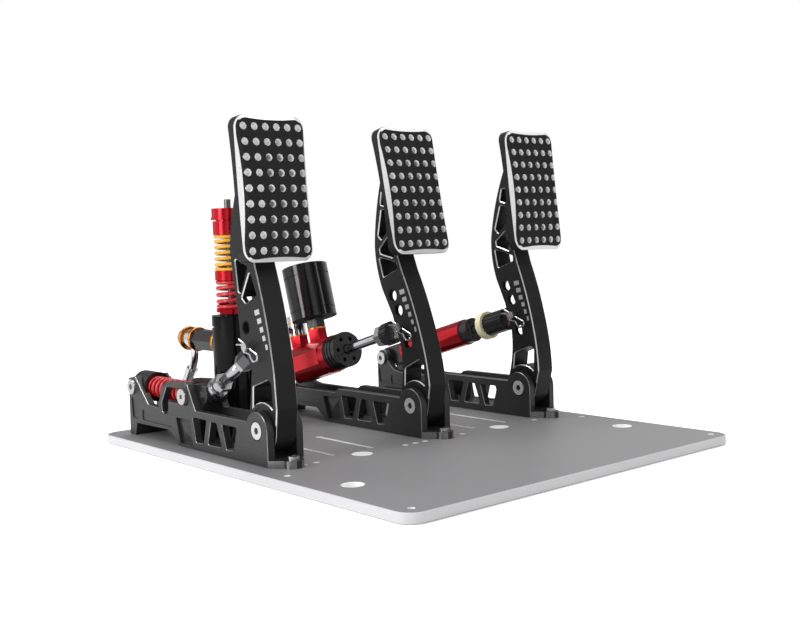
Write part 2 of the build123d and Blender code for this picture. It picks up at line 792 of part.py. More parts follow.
# Brake rod and cylinder, with distances along the rod from the arm's pin
brake_tongue_length = 26.0
brake_collar_end = 36.0
brake_collar_radius = 10.5
collar_ribs = 14
collar_rib_depth = 0.9
brake_nut_start = 36.8
brake_nut_end = 44.8
brake_nut_radius = 10.0
brake_rod_radius = 4.5
brake_rod_end = 132.0
cap_start = 97.4
cap_end = 115.0
cap_radius = 17.0
cap_groove_depth = 1.0
cap_groove_starts_share = (0.28, 0.55, 0.80)
cap_groove_width_share = 0.09
brake_bore_end = 152.0
rod_bore_clearance = 0.55
flange_end = 124.0
flange_radius = 17.6
cylinder_radius = 17.5
cylinder_end = 181.0
cylinder_nose = 4.0
cylinder_eye_radius = 10.5
cylinder_eye_width = 20.0
front_port = 139.6
rear_port = 172.5
port_radius = 9.6
port_top = 28.6
washer_top = 30.0
washer_radius = 9.4
canister_neck_top = 40.0
canister_radius = 22.5
canister_band_top = 47.7
canister_seam = 82.0
canister_top = 92.6
seam_gap = 0.8
seam_depth = 0.8
banjo_top = 42.0
banjo_washer_top = 43.4
banjo_bolt_top = 50.0
banjo_radius = 9.0
banjo_bolt_radius = 4.2
banjo_head_radius = 8.0

save(rod_tongue(brake_x, brake_pin, rear_pin, brake_tongue_length, tongue_width,
                pin_radius + running_clearance), "brake_clevis")
brake_axis = axis_plane(brake_x, brake_pin, rear_pin)
save(ribbed(brake_axis, brake_tongue_length, brake_collar_end, brake_collar_radius, 0.0,
            collar_ribs, collar_rib_depth), "brake_collar")
save(hexagon(brake_axis, brake_nut_start, brake_nut_end, brake_nut_radius,
             brake_rod_radius + running_clearance), "brake_lock_nut")
save(turned(brake_axis, [(brake_collar_end, brake_rod_end, brake_rod_radius)]), "brake_push_rod")

brake_bore = brake_rod_radius + rod_bore_clearance
cap_length = cap_end - cap_start
with BuildPart() as brake_cap:
    with BuildSketch(brake_axis.offset(cap_start)):
        Circle(cap_radius)
    extrude(amount=cap_length)
    for share in cap_groove_starts_share:
        with BuildSketch(brake_axis.offset(cap_start + share * cap_length)):
            Circle(cap_radius)
            Circle(cap_radius - cap_groove_depth, mode=Mode.SUBTRACT)
        extrude(amount=cap_groove_width_share * cap_length, mode=Mode.SUBTRACT)
    with BuildSketch(brake_axis.offset(cap_start)):
        Circle(brake_bore)
        with PolarLocations((brake_bore + cap_radius) / 2, 6):
            Circle(cap_groove_depth * 2)
    extrude(amount=cap_length / 2, mode=Mode.SUBTRACT)
    with BuildSketch(brake_axis.offset(cap_start)):
        Circle(brake_bore)
    extrude(amount=cap_length, mode=Mode.SUBTRACT)
save(brake_cap.part, "brake_cylinder_cap")

rear_span = hypot(rear_pin[0] - brake_pin[0], rear_pin[1] - brake_pin[1])
port_bore = banjo_bolt_radius
with BuildPart() as brake_cylinder:
    with BuildSketch(brake_axis.offset(cap_end)):
        Circle(flange_radius)
    extrude(amount=flange_end - cap_end)
    with BuildSketch(brake_axis.offset(flange_end)):
        RegularPolygon(cylinder_radius, 8, rotation=22.5, major_radius=False)
    extrude(amount=cylinder_end - flange_end - cylinder_nose)
    with BuildSketch(brake_axis.offset(cylinder_end - cylinder_nose)):
        RegularPolygon(cylinder_radius, 8, rotation=22.5, major_radius=False)
    with BuildSketch(brake_axis.offset(cylinder_end)):
        RegularPolygon(cylinder_radius - cylinder_nose, 8, rotation=22.5, major_radius=False)
    loft(ruled=True)
    with BuildSketch(brake_axis.offset(cylinder_end - cylinder_nose)):
        Rectangle(cylinder_eye_width, 2 * cylinder_eye_radius)
    extrude(amount=rear_span - cylinder_end + cylinder_nose)
    with BuildSketch(side(brake_x - cylinder_eye_width / 2)):
        with Locations(rear_pin):
            Circle(cylinder_eye_radius)
    extrude(amount=cylinder_eye_width)
    for port in (front_port, rear_port):
        port_plane = axis_plane(brake_x, along(brake_pin, rear_pin, port),
                                along(brake_pin, rear_pin, port, port_top))
        with BuildSketch(port_plane):
            RegularPolygon(port_radius, 6)
        extrude(amount=port_top)
    with BuildSketch(brake_axis.offset(cap_end)):
        Circle(brake_bore)
    extrude(amount=brake_bore_end - cap_end, mode=Mode.SUBTRACT)
    with BuildSketch(side(brake_x - cylinder_eye_width / 2)):
        with Locations(rear_pin):
            Circle(rear_bolt_radius + running_clearance)
    extrude(amount=cylinder_eye_width, mode=Mode.SUBTRACT)
save(brake_cylinder.part, "brake_cylinder")

front_port_plane = axis_plane(brake_x, along(brake_pin, rear_pin, front_port),
                              along(brake_pin, rear_pin, front_port, port_top))
rear_port_plane = axis_plane(brake_x, along(brake_pin, rear_pin, rear_port),
                             along(brake_pin, rear_pin, rear_port, port_top))
with BuildPart() as port_washers:
    for plane, low, high in ((front_port_plane, port_top, washer_top),
                             (rear_port_plane, port_top, washer_top),
                             (rear_port_plane, banjo_top, banjo_washer_top)):
        with BuildSketch(plane.offset(low)):
            Circle(washer_radius)
            Circle(port_bore + running_clearance, mode=Mode.SUBTRACT)
        extrude(amount=high - low)
save(port_washers.part, "port_washers")
save(hexagon(front_port_plane, washer_top, canister_neck_top, port_radius), "reservoir_neck")
save(turned(front_port_plane, [
    (canister_neck_top, canister_band_top, canister_radius),
    (canister_band_top, canister_band_top + seam_gap, canister_radius - seam_depth),
    (canister_band_top + seam_gap, canister_seam, canister_radius)]), "reservoir")
save(turned(front_port_plane, [
    (canister_seam, canister_seam + seam_gap, canister_radius - seam_depth),
    (canister_seam + seam_gap, canister_top, canister_radius)]), "reservoir_cap")

hose_outer_radius = 3.4
neck_radius = 3.6
ferrule_radius = 5.8
crimp_radius = 5.0
neck_length = 17.0
ferrule_length = 7.0
crimp_length = 11.0


def banjo_neck(plane, low, high, neck_out, neck_direction, neck_reach):
    """The neck's line: square out of the ring, then straight on or bent towards a direction."""
    middle = plane.offset((low + high) / 2).origin
    bend = middle + Vector(neck_out) * (banjo_radius + neck_radius)
    end = bend + Vector(neck_direction).normalized() * neck_reach
    with BuildLine() as neck:
        Line(middle, bend)
        if neck_direction == neck_out:
            Line(bend, end)
        else:
            TangentArc(bend, end, tangent=neck_out)
    return neck.line


def banjo(plane, low, high, neck):
    """A banjo ring between two washers, with a hexagon and a crimp on the end of its neck."""
    ferrule_plane = Plane(origin=neck @ 1, z_dir=neck % 1)
    with BuildPart() as fitting:
        with BuildSketch(plane.offset(low)):
            Circle(banjo_radius)
        extrude(amount=high - low)
        with BuildSketch(Plane(origin=neck @ 0, z_dir=neck % 0)):
            Circle(neck_radius)
        sweep(path=neck)
        with BuildSketch(ferrule_plane):
            RegularPolygon(ferrule_radius, 6)
        extrude(amount=ferrule_length)
        with BuildSketch(ferrule_plane.offset(ferrule_length)):
            Circle(crimp_radius)
        extrude(amount=crimp_length)
        with BuildSketch(plane.offset(low)):
            Circle(banjo_bolt_radius + running_clearance)
        extrude(amount=high - low, mode=Mode.SUBTRACT)
    return fitting.part


def banjo_bolt(plane, low, seat, high):
    return turned(plane, [(low, seat, banjo_bolt_radius), (seat, high, banjo_head_radius)])


short_neck = 4.0
brake_neck = banjo_neck(rear_port_plane, washer_top, banjo_top, (-1, 0, 0), (-1, 0, 0), short_neck)
save(banjo(rear_port_plane, washer_top, banjo_top, brake_neck), "brake_banjo")
save(banjo_bolt(rear_port_plane, port_top, banjo_washer_top, banjo_bolt_top), "brake_banjo_bolt")


# Throttle rod and damper
throttle_knob_start = 20.0
throttle_knob_end = 46.0
throttle_knob_radius = 11.0
knob_ribs = 18
knob_rib_depth = 0.8
bumper_end = 53.0
bumper_radius = 13.7
throttle_rod_radius = 4.0
throttle_rod_end = 104.0
damper_cap_start = 69.0
damper_cap_end = 80.0
damper_cap_radius = 12.2
damper_bore_end = 126.0
damper_tube_radius = 13.2
damper_tube_end = 175.0
damper_axis_lift = 0.39
damper_eye_radius = 10.0

save(rod_tongue(throttle_x, throttle_pin, rear_pin, throttle_knob_start, tongue_width,
                pin_radius + running_clearance), "throttle_clevis")
throttle_axis = axis_plane(throttle_x, throttle_pin, rear_pin)
throttle_bore = throttle_rod_radius + rod_bore_clearance
save(ribbed(throttle_axis, throttle_knob_start, throttle_knob_end, throttle_knob_radius, 0.0,
            knob_ribs, knob_rib_depth), "throttle_knob")
save(turned(throttle_axis, [(throttle_knob_end, bumper_end, bumper_radius)],
            [(throttle_knob_end, bumper_end, throttle_rod_radius + running_clearance)]),
     "throttle_bumper")
save(turned(throttle_axis, [(throttle_knob_end, throttle_rod_end, throttle_rod_radius)]),
     "throttle_push_rod")

damper_axis = axis_plane(throttle_x, along(throttle_pin, rear_pin, 0.0, damper_axis_lift),
                         along(throttle_pin, rear_pin, damper_tube_end, damper_axis_lift))
throttle_span = hypot(rear_pin[0] - throttle_pin[0], rear_pin[1] - throttle_pin[1])
with BuildPart() as damper_cap:
    with BuildSketch(damper_axis.offset(damper_cap_start)):
        Circle(damper_cap_radius)
        Circle(throttle_bore, mode=Mode.SUBTRACT)
        with PolarLocations((throttle_bore + damper_cap_radius) / 2, 6):
            Circle(cap_groove_depth, mode=Mode.SUBTRACT)
    extrude(amount=(damper_cap_end - damper_cap_start) / 2)
    with BuildSketch(damper_axis.offset((damper_cap_end + damper_cap_start) / 2)):
        Circle(damper_cap_radius)
        Circle(throttle_bore, mode=Mode.SUBTRACT)
    extrude(amount=(damper_cap_end - damper_cap_start) / 2)
save(damper_cap.part, "throttle_damper_cap")
with BuildPart() as damper:
    with BuildSketch(damper_axis.offset(damper_cap_end)):
        Circle(damper_tube_radius)
    extrude(amount=damper_tube_end - damper_cap_end)
    with BuildSketch(damper_axis.offset(damper_tube_end)):
        Rectangle(cylinder_eye_width, 2 * damper_eye_radius)
    extrude(amount=throttle_span - damper_tube_end)
    with BuildSketch(side(throttle_x - cylinder_eye_width / 2)):
        with Locations(rear_pin):
            Circle(damper_eye_radius)
    extrude(amount=cylinder_eye_width)
    with BuildSketch(damper_axis.offset(damper_cap_end)):
        Circle(throttle_bore)
    extrude(amount=damper_bore_end - damper_cap_end, mode=Mode.SUBTRACT)
    with BuildSketch(side(throttle_x - cylinder_eye_width / 2)):
        with Locations(rear_pin):
            Circle(rear_bolt_radius + running_clearance)
    extrude(amount=cylinder_eye_width, mode=Mode.SUBTRACT)
save(damper.part, "throttle_damper")


# Clutch link, slider and spring
link_block_start = 16.0
link_block_end = 30.0
link_block_radius = 8.2
link_nut_radius = 9.8
upper_nut_end = 38.0
link_rod_radius = 4.3
lower_nut_start = 66.0
lower_nut_end = 78.0
link_socket_start = 78.0
link_socket_radius = 8.6
link_socket_end = 82.7

link_axis = axis_plane(clutch_x, clutch_pin, link_end)
with BuildPart() as link_head:
    add(rod_tongue(clutch_x, clutch_pin, link_end, link_block_start, tongue_width,
                   pin_radius + running_clearance))
    with BuildSketch(link_axis.offset(link_block_start)):
        RegularPolygon(link_block_radius, 6)
    extrude(amount=link_block_end - link_block_start)
save(link_head.part, "clutch_clevis")
with BuildPart() as link_rod:
    with BuildSketch(link_axis.offset(link_block_end)):
        RegularPolygon(link_nut_radius, 6)
    extrude(amount=upper_nut_end - link_block_end)
    with BuildSketch(link_axis.offset(upper_nut_end)):
        Circle(link_rod_radius)
    extrude(amount=lower_nut_start - upper_nut_end)
save(link_rod.part, "clutch_push_rod")
save(hexagon(link_axis, lower_nut_start, lower_nut_end, link_nut_radius), "clutch_lock_nut")
with BuildPart() as link_socket:
    with BuildSketch(link_axis.offset(link_socket_start)):
        Circle(link_socket_radius)
    extrude(amount=link_socket_end - link_socket_start)
    with BuildSketch(link_axis.offset(link_socket_end)):
        Rectangle(link_eye_width, 2 * eye_radius)
    extrude(amount=link_length - link_socket_end)
    with BuildSketch(side(clutch_x - link_eye_width / 2)):
        with Locations(link_end):
            Circle(eye_radius)
    extrude(amount=link_eye_width)
    with BuildSketch(side(clutch_x - link_eye_width / 2)):
        with Locations(link_end):
            Circle(link_pin_radius + link_pin_clearance)
    extrude(amount=link_eye_width, mode=Mode.SUBTRACT)
save(link_socket.part, "clutch_rod_end")

spring_front = slider_rear + spring_seat_thickness
spring_axis = axis_plane(clutch_x, (slider_rear, spring_z), (cup_front, spring_z))
with BuildPart() as slider:
    with BuildSketch(side(clutch_x - slider_width / 2)):
        with Locations(link_end):
            Circle(slider_nose_radius)
        with BuildLine():
            Polyline((link_end[0], link_end_z - slider_nose_radius), (slider_rear, slider_foot_z),
                     (slider_rear, slider_top_z), (link_end[0], link_end_z + slider_nose_radius),
                     close=True)
        make_face()
    extrude(amount=slider_width)
    with BuildSketch(spring_axis):
        Circle(spring_seat_radius)
    extrude(amount=spring_seat_thickness)
    with BuildSketch(spring_axis):
        Circle(guide_rod_radius)
    extrude(amount=guide_rod_length)
    fork_gap = link_eye_width + 2 * slide_clearance
    with BuildSketch(side(clutch_x - fork_gap / 2)):
        with BuildLine():
            Polyline((0, 0), (slider_fork_rear, 0), (slider_fork_rear, base_height), (0, base_height),
                     close=True)
        make_face()
    extrude(amount=fork_gap, mode=Mode.SUBTRACT)
    with BuildSketch(side(clutch_x - slider_width / 2)):
        with Locations(link_end):
            Circle(link_pin_radius + running_clearance)
        with Locations((stop_pin_y, spring_z)):
            Circle(stop_pin_radius + running_clearance)
    extrude(amount=slider_width, mode=Mode.SUBTRACT)
save(slider.part, "clutch_slider")

with BuildPart() as link_pin:
    with BuildSketch(side(clutch_x - slider_width / 2)):
        with Locations(link_end):
            Circle(link_pin_radius)
    extrude(amount=slider_width)
save(link_pin.part, "clutch_link_pin")

stop_axis = side(clutch_x)
roller_start = slider_width / 2 + 2 * running_clearance
roller_end = base_width / 2 + slide_clearance / 2
with BuildPart() as stop_pin:
    with BuildSketch(stop_axis.offset(-roller_end)):
        with Locations((stop_pin_y, spring_z)):
            Circle(stop_pin_radius)
    extrude(amount=2 * roller_end)
    for start in (-roller_end, roller_start):
        with BuildSketch(stop_axis.offset(start)):
            with Locations((stop_pin_y, spring_z)):
                Circle(stop_roller_radius)
        extrude(amount=roller_end - roller_start)
    for start in (-roller_end - stop_head_height, roller_end):
        with BuildSketch(stop_axis.offset(start)):
            with Locations((stop_pin_y, spring_z)):
                Circle(stop_head_radius)
        extrude(amount=stop_head_height)
save(stop_pin.part, "clutch_stop_pin")

cup_axis = axis_plane(clutch_x, (cup_front, spring_z), (cup_rear, spring_z))
with BuildPart() as spring_cup:
    with BuildSketch(cup_axis):
        Circle(cup_radius)
    extrude(amount=cup_rear - cup_front)
    with BuildSketch(cup_axis):
        Circle(cup_bore)
    extrude(amount=cup_seat_depth, mode=Mode.SUBTRACT)
    with BuildSketch(side(clutch_x - cup_radius)):
        with Locations(cup_bolt):
            Circle(rear_bolt_radius + running_clearance)
    extrude(amount=2 * cup_radius, mode=Mode.SUBTRACT)
save(spring_cup.part, "clutch_spring_cup")


# Coil springs: each is one tube, swept along arcs that follow the helix

def smooth_arcs(start, first, end, last):
    """Two arcs from start to end that leave along first and arrive along last, in a line block."""
    chord, both = end - start, first + last
    spread = 4 - both.dot(both)
    reach = (sqrt(chord.dot(both) ** 2 + spread * chord.dot(chord)) - chord.dot(both)) / spread
    middle = end - last * reach - (start + first * reach)
    joint = start + first * reach + middle / 2
    TangentArc(start, joint, tangent=first)
    TangentArc(joint, end, tangent=middle)


def coil(plane, mean_radius, wire_radius, turns, length, name):
    """A round-wire coil that stands on the plane and fills this length, ends included."""
    rise = (length - 2 * wire_radius) / turns
    steps_per_turn = 4
    slope = rise / (2 * pi)
    norm = hypot(mean_radius, slope)

    def at(step):
        angle = 2 * pi * step / steps_per_turn
        return plane.from_local_coords(Vector(
            mean_radius * cos(angle), mean_radius * sin(angle), wire_radius + slope * angle))

    def heading(step):
        angle = 2 * pi * step / steps_per_turn
        return plane.from_local_coords(Vector(
            -mean_radius * sin(angle), mean_radius * cos(angle), slope) / norm) - plane.origin

    with BuildPart() as spring:
        with BuildLine() as path:
            for step in range(turns * steps_per_turn):
                smooth_arcs(at(step), heading(step), at(step + 1), heading(step + 1))
        with BuildSketch(Plane(origin=path.line @ 0, z_dir=path.line % 0)):
            RegularPolygon(wire_radius, tube_sides)
        sweep(path=path.line)
    samples = [at(steps_per_turn * i / 24) for i in range(24 * turns + 1)]
    gap = min((a - b).length for i, a in enumerate(samples) for b in samples[i + 18:]) - 2 * wire_radius
    print(name, "least gap to itself", round(gap, 2))
    return spring.part


clutch_spring_length = cup_front + cup_seat_depth - spring_front
save(coil(axis_plane(clutch_x, (spring_front, spring_z), (cup_front, spring_z)),
          clutch_spring_radius, clutch_spring_wire, clutch_spring_turns, clutch_spring_length,
          "clutch spring"), "clutch_spring")


# Slave cylinder, with heights above the plate
slave_x = -101.0
slave_y = 110.5
slave_radius = 18.2
slave_height = 109.0
slave_groove_z = 98.0
slave_groove_width = 1.8
slave_groove_depth = 1.2
slave_seam_z = 48.9
slave_rod_radius = 2.9
slave_rod_top = 212.0
slave_ring_bottom = 112.0
slave_ring_top = 115.0
spring_seat_disc_radius = 13.6
lower_spring_top = 138.4
spacer_bottom = 140.4
spacer_top = 148.6
upper_spring_top = 180.7
upper_cup_top = 192.8
slave_flange_radius = 15.0
slave_flange_bottom = 194.0
slave_flange_top = 196.3
slave_cap_radius = 14.3
slave_cap_top = 204.0
slave_neck_radius = 11.0
slave_spring_radius = 12.0
slave_wire = 1.5
lower_spring_turns = 4
upper_spring_turns = 6
port_height = 84.0

slave_axis = Plane(origin=(slave_x, slave_y, plate_thickness))
with BuildPart() as slave_body:
    with BuildSketch(slave_axis):
        Circle(slave_radius)
    extrude(amount=slave_height)
    for low, width in ((slave_groove_z, slave_groove_width), (slave_seam_z, seam_gap)):
        with BuildSketch(slave_axis.offset(low)):
            Circle(slave_radius)
            Circle(slave_radius - slave_groove_depth, mode=Mode.SUBTRACT)
        extrude(amount=width, mode=Mode.SUBTRACT)
    with BuildSketch(slave_axis.offset(slave_height)):
        Circle(slave_neck_radius)
    extrude(amount=slave_ring_bottom - slave_height)
    with BuildSketch(slave_axis.offset(slave_ring_bottom)):
        Circle(spring_seat_disc_radius)
    extrude(amount=slave_ring_top - slave_ring_bottom)
    with BuildSketch(slave_axis.offset(slave_height)):
        Circle(slave_rod_radius + running_clearance)
    extrude(amount=slave_ring_top - slave_height, mode=Mode.SUBTRACT)
save(slave_body.part, "slave_cylinder")
save(turned(slave_axis, [(slave_height, slave_rod_top, slave_rod_radius)]), "slave_rod")
save(coil(slave_axis.offset(slave_ring_top), slave_spring_radius, slave_wire, lower_spring_turns,
          spacer_bottom - slave_ring_top, "lower slave spring"), "slave_spring_lower")
rod_bore = slave_rod_radius + running_clearance
save(turned(slave_axis, [(spacer_bottom, spacer_top, spring_seat_disc_radius)],
            [(spacer_bottom, spacer_top, rod_bore)]), "slave_spacer")
save(coil(slave_axis.offset(spacer_top), slave_spring_radius, slave_wire, upper_spring_turns,
          upper_spring_top - spacer_top, "upper slave spring"), "slave_spring_upper")
save(turned(slave_axis, [(upper_spring_top, upper_cup_top, spring_seat_disc_radius),
                         (upper_cup_top, slave_flange_bottom, slave_neck_radius),
                         (slave_flange_bottom, slave_flange_top, slave_flange_radius),
                         (slave_flange_top, slave_cap_top, slave_cap_radius)],
            [(upper_spring_top, slave_cap_top, rod_bore)]), "slave_spring_cap")

# Pressure block, washers and banjo on the slave cylinder, away from the driver
block_start = slave_radius + 0.3
block_washer = 4.0
block_length = 37.0
block_radius = 10.5
joint_washer = 3.0
slave_banjo_length = 14.0
slave_bolt_head = 8.0
port_axis = Plane(origin=(slave_x, slave_y, plate_thickness + port_height),
                  x_dir=(1, 0, 0), z_dir=(0, 1, 0))
block_low = block_start + block_washer
block_high = block_low + block_length
banjo_low = block_high + joint_washer
banjo_high = banjo_low + slave_banjo_length
outer_washer = banjo_high + joint_washer
with BuildPart() as slave_washers:
    for low, high in ((block_start, block_low), (block_high, banjo_low), (banjo_high, outer_washer)):
        with BuildSketch(port_axis.offset(low)):
            Circle(washer_radius)
            Circle(banjo_bolt_radius + running_clearance, mode=Mode.SUBTRACT)
        extrude(amount=high - low)
save(slave_washers.part, "slave_washers")
save(hexagon(port_axis, block_low, block_high, block_radius), "pressure_block")
slave_neck_direction = (0, 0.34, -0.94)
slave_neck = banjo_neck(port_axis, banjo_low, banjo_high, (0, 0, -1), slave_neck_direction,
                        neck_length)
save(banjo(port_axis, banjo_low, banjo_high, slave_neck), "slave_banjo")
save(banjo_bolt(port_axis, block_high, outer_washer, outer_washer + slave_bolt_head),
     "slave_banjo_bolt")


# Hydraulic hose from the slave cylinder's banjo to the brake cylinder's
fitting_length = ferrule_length + crimp_length
hose_start = slave_neck @ 1 + (slave_neck % 1) * fitting_length
hose_end = brake_neck @ 1 + (brake_neck % 1) * fitting_length
hose_points = [hose_start, (-84.0, 207.0, 28.0), (-50.0, 190.0, 54.0), hose_end]
hose_headings = [slave_neck % 1, (0.95, -0.12, 0.1), (0.55, -0.3, 0.75), -(brake_neck % 1)]
with BuildPart() as hose:
    with BuildLine() as hose_route:
        for step in range(len(hose_points) - 1):
            smooth_arcs(Vector(hose_points[step]), Vector(hose_headings[step]).normalized(),
                        Vector(hose_points[step + 1]), Vector(hose_headings[step + 1]).normalized())
    with BuildSketch(Plane(origin=hose_route.line @ 0, z_dir=hose_route.line % 0)):
        RegularPolygon(hose_outer_radius, tube_sides)
    sweep(path=hose_route.line)
save(hose.part, "brake_hose")
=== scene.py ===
from functools import reduce
from math import cos, pi, sin

import bpy
from mathutils import Matrix, Vector


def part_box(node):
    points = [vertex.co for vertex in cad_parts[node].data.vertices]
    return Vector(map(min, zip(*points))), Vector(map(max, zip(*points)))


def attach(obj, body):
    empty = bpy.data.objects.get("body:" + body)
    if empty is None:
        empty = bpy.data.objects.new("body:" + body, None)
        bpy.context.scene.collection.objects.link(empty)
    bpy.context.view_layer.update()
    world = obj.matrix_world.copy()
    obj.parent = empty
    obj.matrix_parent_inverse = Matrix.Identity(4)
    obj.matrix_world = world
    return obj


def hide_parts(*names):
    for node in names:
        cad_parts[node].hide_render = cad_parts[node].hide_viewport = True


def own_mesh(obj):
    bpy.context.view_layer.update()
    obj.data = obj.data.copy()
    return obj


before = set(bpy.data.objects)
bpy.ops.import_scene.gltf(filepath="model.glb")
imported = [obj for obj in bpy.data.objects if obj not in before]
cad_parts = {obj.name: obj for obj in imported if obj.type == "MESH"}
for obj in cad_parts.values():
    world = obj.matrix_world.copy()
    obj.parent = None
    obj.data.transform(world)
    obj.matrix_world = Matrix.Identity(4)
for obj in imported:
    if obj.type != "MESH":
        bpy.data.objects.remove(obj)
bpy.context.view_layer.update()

# Lengths are in metres, in the frame of the part, and angles in radians
mm = 0.001
x_axis, y_axis, z_axis = Vector((1, 0, 0)), Vector((0, 1, 0)), Vector((0, 0, 1))
pedals = ("clutch", "brake", "throttle")
hexagon_sides = 6
round_sides = 48


# Places of the CAD nodes

def middle_of(node):
    """The middle of a node's box."""
    low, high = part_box(node)
    return (low + high) / 2


def direction_between(first_node, second_node):
    """The direction from the middle of one node to the middle of another."""
    return (middle_of(second_node) - middle_of(first_node)).normalized()


def span_along(node, axis):
    """The middle and half length of a node along an axis."""
    places = [vertex.co.dot(axis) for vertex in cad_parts[node].data.vertices]
    return (max(places) + min(places)) / 2, (max(places) - min(places)) / 2


# A face looks towards the driver where its normal leans that way by more than this share
driver_share = 0.8


def pad_axes(pad):
    """A pad's own axes: to the right, up along its face, and out of its face.

    The last is the mean, weighted by area, of the faces that look towards the driver."""
    front = Vector()
    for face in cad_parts[pad].data.polygons:
        if face.normal.y < -driver_share:
            front += face.normal * face.area
    front.normalize()
    return x_axis, front.cross(x_axis), front


# The arms' own side view, in which v runs from the pivot away from the driver and w up the arm
pivot_y = -18.0 * mm
pivot_z = 35.4 * mm


def arm_place(v, w, lean):
    """The y and z of a point of an arm's side view, with the arm leaning by an angle."""
    return (pivot_y + v * cos(lean) - w * sin(lean), pivot_z + v * sin(lean) + w * cos(lean))


# New objects

def add_object(name, data):
    made = bpy.data.objects.new(name, data)
    bpy.context.collection.objects.link(made)
    return made


def new_mesh(name, vertices, faces, material, smooth=False):
    mesh = bpy.data.meshes.new(name)
    mesh.from_pydata(vertices, [], faces)
    if smooth:
        mesh.shade_smooth()
    mesh.materials.append(material)
    return add_object(name, mesh)


def circle(first, second, sides):
    """Spokes of length 1, from the first direction round by way of the second."""
    angles = [2 * pi * step / sides for step in range(sides)]
    return [first * cos(angle) + second * sin(angle) for angle in angles]


def band(start, sides):
    """The quads between the ring of vertices that begins at start and the ring after it."""
    return [(start + step, start + (step + 1) % sides, start + sides + (step + 1) % sides,
             start + sides + step) for step in range(sides)]


curve_steps = 8
curve_bevel = 5


def new_curve(name, material, radius, points):
    """An open spline with round thickness, drawn by its control points."""
    data = bpy.data.curves.new(name, "CURVE")
    data.dimensions = "3D"
    data.bevel_depth = radius
    data.bevel_resolution = curve_bevel
    data.resolution_u = curve_steps
    data.use_fill_caps = True
    spline = data.splines.new("NURBS")
    spline.points.add(len(points) - 1)
    for point, place in zip(spline.points, points):
        point.co = (*place, 1)
    spline.order_u = 3
    spline.use_endpoint_u = True
    data.materials.append(material)
    return add_object(name, data)


# Material nodes

def start_material(name, **values):
    """A new node material and its tree and shader, with these plain values on the shader."""
    material = bpy.data.materials.new(name)
    material.use_nodes = True
    tree = material.node_tree
    shader = tree.nodes["Principled BSDF"]
    for socket, value in values.items():
        shader.inputs[socket.replace("_", " ")].default_value = value
    return material, tree, shader


def feed(tree, shader, **outputs):
    """Links these outputs to the shader's sockets."""
    for socket, output in outputs.items():
        tree.links.new(output, shader.inputs[socket.replace("_", " ")])


def put(tree, kind, inputs, **settings):
    """A node with its settings made and its inputs linked or given values."""
    made = tree.nodes.new(kind)
    for key, value in settings.items():
        setattr(made, key, value)
    for place, value in inputs.items():
        if isinstance(value, bpy.types.NodeSocket):
            tree.links.new(value, made.inputs[place])
        else:
            made.inputs[place].default_value = value
    return made


def maths(tree, operation, first, second=0.0):
    return put(tree, "ShaderNodeMath", {0: first, 1: second}, operation=operation).outputs[0]


def spread(tree, value, low, high, to_low, to_high):
    """A value's range from low to high, stretched to another range."""
    return put(tree, "ShaderNodeMapRange", {
        "Value": value, "From Min": low, "From Max": high, "To Min": to_low,
        "To Max": to_high}).outputs["Result"]


def blend(tree, factor, first, second):
    """A colour between two, by the factor."""
    return put(tree, "ShaderNodeMix", {0: factor, 6: first, 7: second},
               data_type="RGBA").outputs[2]


def coordinates(tree, kind):
    return put(tree, "ShaderNodeTexCoord", {}).outputs[kind]


noise_detail = 4.0


def grain(tree, scale):
    """Noise over the object's own coordinates, stretched by a scale for each axis."""
    stretched = put(tree, "ShaderNodeMapping", {
        "Vector": coordinates(tree, "Object"), "Scale": scale}).outputs[0]
    return put(tree, "ShaderNodeTexNoise", {
        "Vector": stretched, "Scale": 1.0, "Detail": noise_detail}).outputs[0]


noise_low = 0.3
noise_high = 0.7


def worn(tree, noise, smooth, rough):
    """A roughness that follows the noise."""
    return spread(tree, noise, noise_low, noise_high, smooth, rough)


def emboss(tree, shader, height, distance, strength=0.5):
    bump = put(tree, "ShaderNodeBump", {
        "Height": height, "Distance": distance, "Strength": strength})
    feed(tree, shader, Normal=bump.outputs[0])


def shaded(colour, share):
    """An opaque colour, made darker or lighter."""
    return (*[min(1, channel * share) for channel in colour], 1)


# Where a point of the surface lies and how it leans, in the object's own coordinates

def dot(tree, vector, direction):
    return put(tree, "ShaderNodeVectorMath", {0: vector, 1: direction},
               operation="DOT_PRODUCT").outputs["Value"]


def facing(tree, direction):
    """How far the surface faces a direction of the object, from 0 for across to 1 for along."""
    return maths(tree, "ABSOLUTE", dot(tree, coordinates(tree, "Normal"), direction))


def place_along(tree, axis):
    return dot(tree, coordinates(tree, "Object"), axis)


def off_from(tree, axis, level):
    """How far a place is from a level along an axis, on either side."""
    return maths(tree, "ABSOLUTE", maths(tree, "SUBTRACT", place_along(tree, axis), level))


def hypotenuse(tree, first, second):
    squares = [maths(tree, "POWER", part, 2.0) for part in (first, second)]
    return maths(tree, "SQRT", maths(tree, "ADD", *squares))


# Masks: 1 where something holds, and 0 elsewhere

def above(tree, value, limit):
    return maths(tree, "GREATER_THAN", value, limit)


def below(tree, value, limit):
    return maths(tree, "LESS_THAN", value, limit)


def every(tree, *masks):
    return reduce(lambda first, second: maths(tree, "MULTIPLY", first, second), masks)


def either(tree, *masks):
    return reduce(lambda first, second: maths(tree, "MAXIMUM", first, second), masks)


def inverse(tree, mask):
    return maths(tree, "SUBTRACT", 1.0, mask)


def within(tree, value, low, high):
    return every(tree, above(tree, value, low), below(tree, value, high))


# General finishes

metal_wear = (0.8, 1.25)


